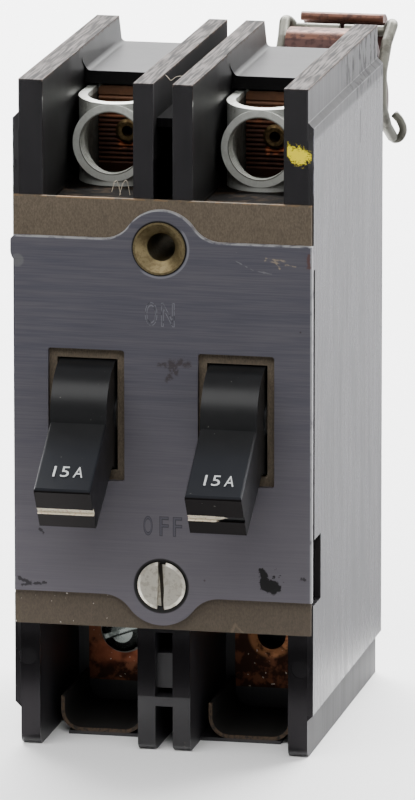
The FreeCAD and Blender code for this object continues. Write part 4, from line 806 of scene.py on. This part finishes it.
def thread(name, path, radius, paint, body, sides):
    """A round thread along a smooth line, made of rings that stand square to the line.

    The line goes through each given place. Between two places it is the cubic whose slope
    at a place points from the place before to the place after.
    """
    path = np.array(path, float)
    ends = np.vstack([2 * path[0] - path[1], path, 2 * path[-1] - path[-2]])
    share = np.linspace(0, len(path) - 1.001, RINGS)
    index = share.astype(int)
    t = (share - index)[:, None]
    before, first, second, after = (ends[index + step] for step in range(4))
    line = ((2 * t ** 3 - 3 * t ** 2 + 1) * first + (3 * t ** 2 - 2 * t ** 3) * second
            + (t ** 3 - 2 * t ** 2 + t) * (second - before) / 2
            + (t ** 3 - t ** 2) * (after - first) / 2)
    along_line = np.gradient(line, axis=0)
    along_line /= np.linalg.norm(along_line, axis=1, keepdims=True)
    across_line = np.cross(along_line, (0.0, 1.0, 0.0))
    across_line /= np.linalg.norm(across_line, axis=1, keepdims=True)
    over_line = np.cross(across_line, along_line)
    angle = np.linspace(0, 2 * np.pi, sides, endpoint=False)[None, :, None]
    ring = np.cos(angle) * across_line[:, None] + np.sin(angle) * over_line[:, None]
    points = line[:, None] + radius * ring
    points = (points.reshape(-1, 3) + (0.0, FRONT / MM, FOOT)) * MM
    corner = np.arange((RINGS - 1) * sides).reshape(-1, sides)
    beside = np.roll(corner, -1, axis=1)
    faces = np.stack([corner, beside, beside + sides, corner + sides], axis=-1)
    faces = faces.reshape(-1, 4).tolist()
    faces += [list(range(sides))[::-1], list(range((RINGS - 1) * sides, RINGS * sides))]
    mesh = bpy.data.meshes.new(name)
    mesh.from_pydata(points.tolist(), [], faces)
    mesh.polygons.foreach_set("use_smooth", [True] * len(faces))
    mesh.materials.append(paint.material)
    made = bpy.data.objects.new(name, mesh)
    bpy.context.scene.collection.objects.link(made)
    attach(made, body)


print("a thread has", RINGS, "rings")

# %% [markdown]
# The hook is as thick as the wire that it ends, and sixteen sides keep it round. The hairs
# are only a tenth of a millimetre thick, so six sides are enough for them.

# %% Hook and hairs
WIRE_RADIUS, HAIR_RADIUS = 0.72, 0.055
hook = [(21.7, 89.6, 89.1), (22.2, 89.8, 88.2), (23.2, 89.9, 88.6), (23.7, 89.9, 90.0),
        (23.2, 89.6, 91.6), (22.3, 89.2, 92.8)]
thread("spring_hook", hook, WIRE_RADIUS, wire_steel, "case", sides=16)
hair_paint = Paint("white hair", eye_color(178, 168, 150), 0.7)
hairs = [[(-8.9, 0.9, 95.0), (-8.4, 0.8, 96.6), (-7.9, 0.9, 96.7), (-7.4, 1.0, 94.5)],
         [(-7.6, 1.0, 94.4), (-7.0, 0.9, 96.4), (-6.3, 0.9, 96.9), (-5.8, 1.0, 94.5)],
         [(-1.7, 10.0, 113.4), (-1.2, 9.6, 113.1), (-0.6, 9.4, 112.6), (0.3, 9.6, 113.2),
          (1.6, 10.0, 113.3)]]
for index, path in enumerate(hairs):
    thread("hair_%d" % (index + 1), path, HAIR_RADIUS, hair_paint, "case", sides=6)
print("one hook and", len(hairs), "hairs")

# %% [markdown]
# The studio is a white table under a wide light that hangs behind the object. Black gloss
# shows what it mirrors, so a black card lies in front of the object and a grey one beside it:
# the front faces mirror the black card and stay dark, and the sides look light grey. The
# cards lie just below the table top, and the top above them is seen by the camera alone, so
# that the floor is plain white from every side.

# %% Table and cards


def flat(name, places, sheets, colors, height=0.0):
    """A flat mesh at one height; each sheet names its corners and its colour by number."""
    mesh = bpy.data.meshes.new(name)
    mesh.from_pydata([(x, y, height) for x, y in places], [], [corners for corners, _ in sheets])
    for index, color in enumerate(colors):
        cover = bpy.data.materials.new("%s %d" % (name, index))
        cover.use_nodes = True
        shader = cover.node_tree.nodes["Principled BSDF"]
        shader.inputs["Base Color"].default_value = (*color, 1)
        shader.inputs["Roughness"].default_value = 0.9
        mesh.materials.append(cover)
    mesh.polygons.foreach_set("material_index", [color for _, color in sheets])
    made = bpy.data.objects.new(name, mesh)
    bpy.context.scene.collection.objects.link(made)
    return made


places = [(-4, -4), (4, -4), (4, 4), (-4, 4),
          (-0.45, -1.0), (0.4, -1.0), (0.4, -0.08), (0.0535, -0.08), (-0.45, -0.08),
          (0.4, 0.9), (-0.125, 0.9)]
WHITE, BLACK, GREY = range(3)
COVERS = [(0.97, 0.97, 0.97), (0.03, 0.03, 0.03), (0.25, 0.25, 0.26)]
CARD_HEIGHT = -0.0005
around = [(0, 1, 5, 4), (1, 2, 9, 6, 5), (2, 3, 10, 9), (3, 0, 4, 8), (3, 8, 7, 10)]
front, beside = (4, 5, 6, 7, 8), (7, 6, 9, 10)
flat("table", places, [(corners, WHITE) for corners in around], COVERS)
flat("cards", places, [(front, BLACK), (beside, GREY)], COVERS, CARD_HEIGHT)
table_top = flat("table top over the cards", places, [(front, WHITE), (beside, WHITE)], COVERS)
table_top.visible_diffuse = False
table_top.visible_glossy = False
table_top.visible_transmission = False
table_top.visible_shadow = False
print("table with", len(around), "white sheets and two cards")

# %% [markdown]
# A photographer's tent is bright behind the object and dim in front of it. One ramp on the
# direction of the sky gives this without a wall that a moved camera would run into.

# %% Sky
world = bpy.data.worlds.new("studio")
bpy.context.scene.world = world
world.use_nodes = True
world_nodes = world.node_tree.nodes
links = world.node_tree.links
direction = world_nodes.new("ShaderNodeTexCoord")
split = world_nodes.new("ShaderNodeSeparateXYZ")
ramp = world_nodes.new("ShaderNodeMapRange")
for socket, value in (("From Min", 0.1), ("From Max", 1.0), ("To Min", 0.4), ("To Max", 2.8)):
    ramp.inputs[socket].default_value = value
links.new(direction.outputs["Generated"], split.inputs[0])
links.new(split.outputs["Y"], ramp.inputs["Value"])
links.new(ramp.outputs[0], world_nodes["Background"].inputs["Strength"])
world_nodes["Background"].inputs["Color"].default_value = (1, 1, 1, 1)
print("sky: 0.4 in front, 2.8 behind")

# %% [markdown]
# Three soft lights shape the object. The overhead one hangs behind it and lights the roofs
# and the fin tops, the front one is large and weak so that it leaves no hard glare on the
# toggles, and the side one only lifts the right wall.

# %% Lights


def softbox(name, where, size, power, target=(0, 0, 0.055)):
    """A rectangular lamp that looks at its target; places are in metres."""
    light = bpy.data.lights.new(name, "AREA")
    light.shape = "RECTANGLE"
    light.size, light.size_y = size
    light.energy = power
    made = bpy.data.objects.new(name, light)
    bpy.context.scene.collection.objects.link(made)
    made.location = where
    aim = Vector(target) - Vector(where)
    made.rotation_euler = aim.to_track_quat("-Z", "Y").to_euler()


softbox("overhead light", (0.0, 0.95, 1.1), (2.0, 0.8), 115.0, (0, 0.2, 0))
softbox("front light", (-0.3, -0.95, 1.3), (2.0, 0.9), 27.0)
softbox("side light", (1.2, -0.7, 0.5), (0.6, 0.9), 3.0)
print("three soft lights")
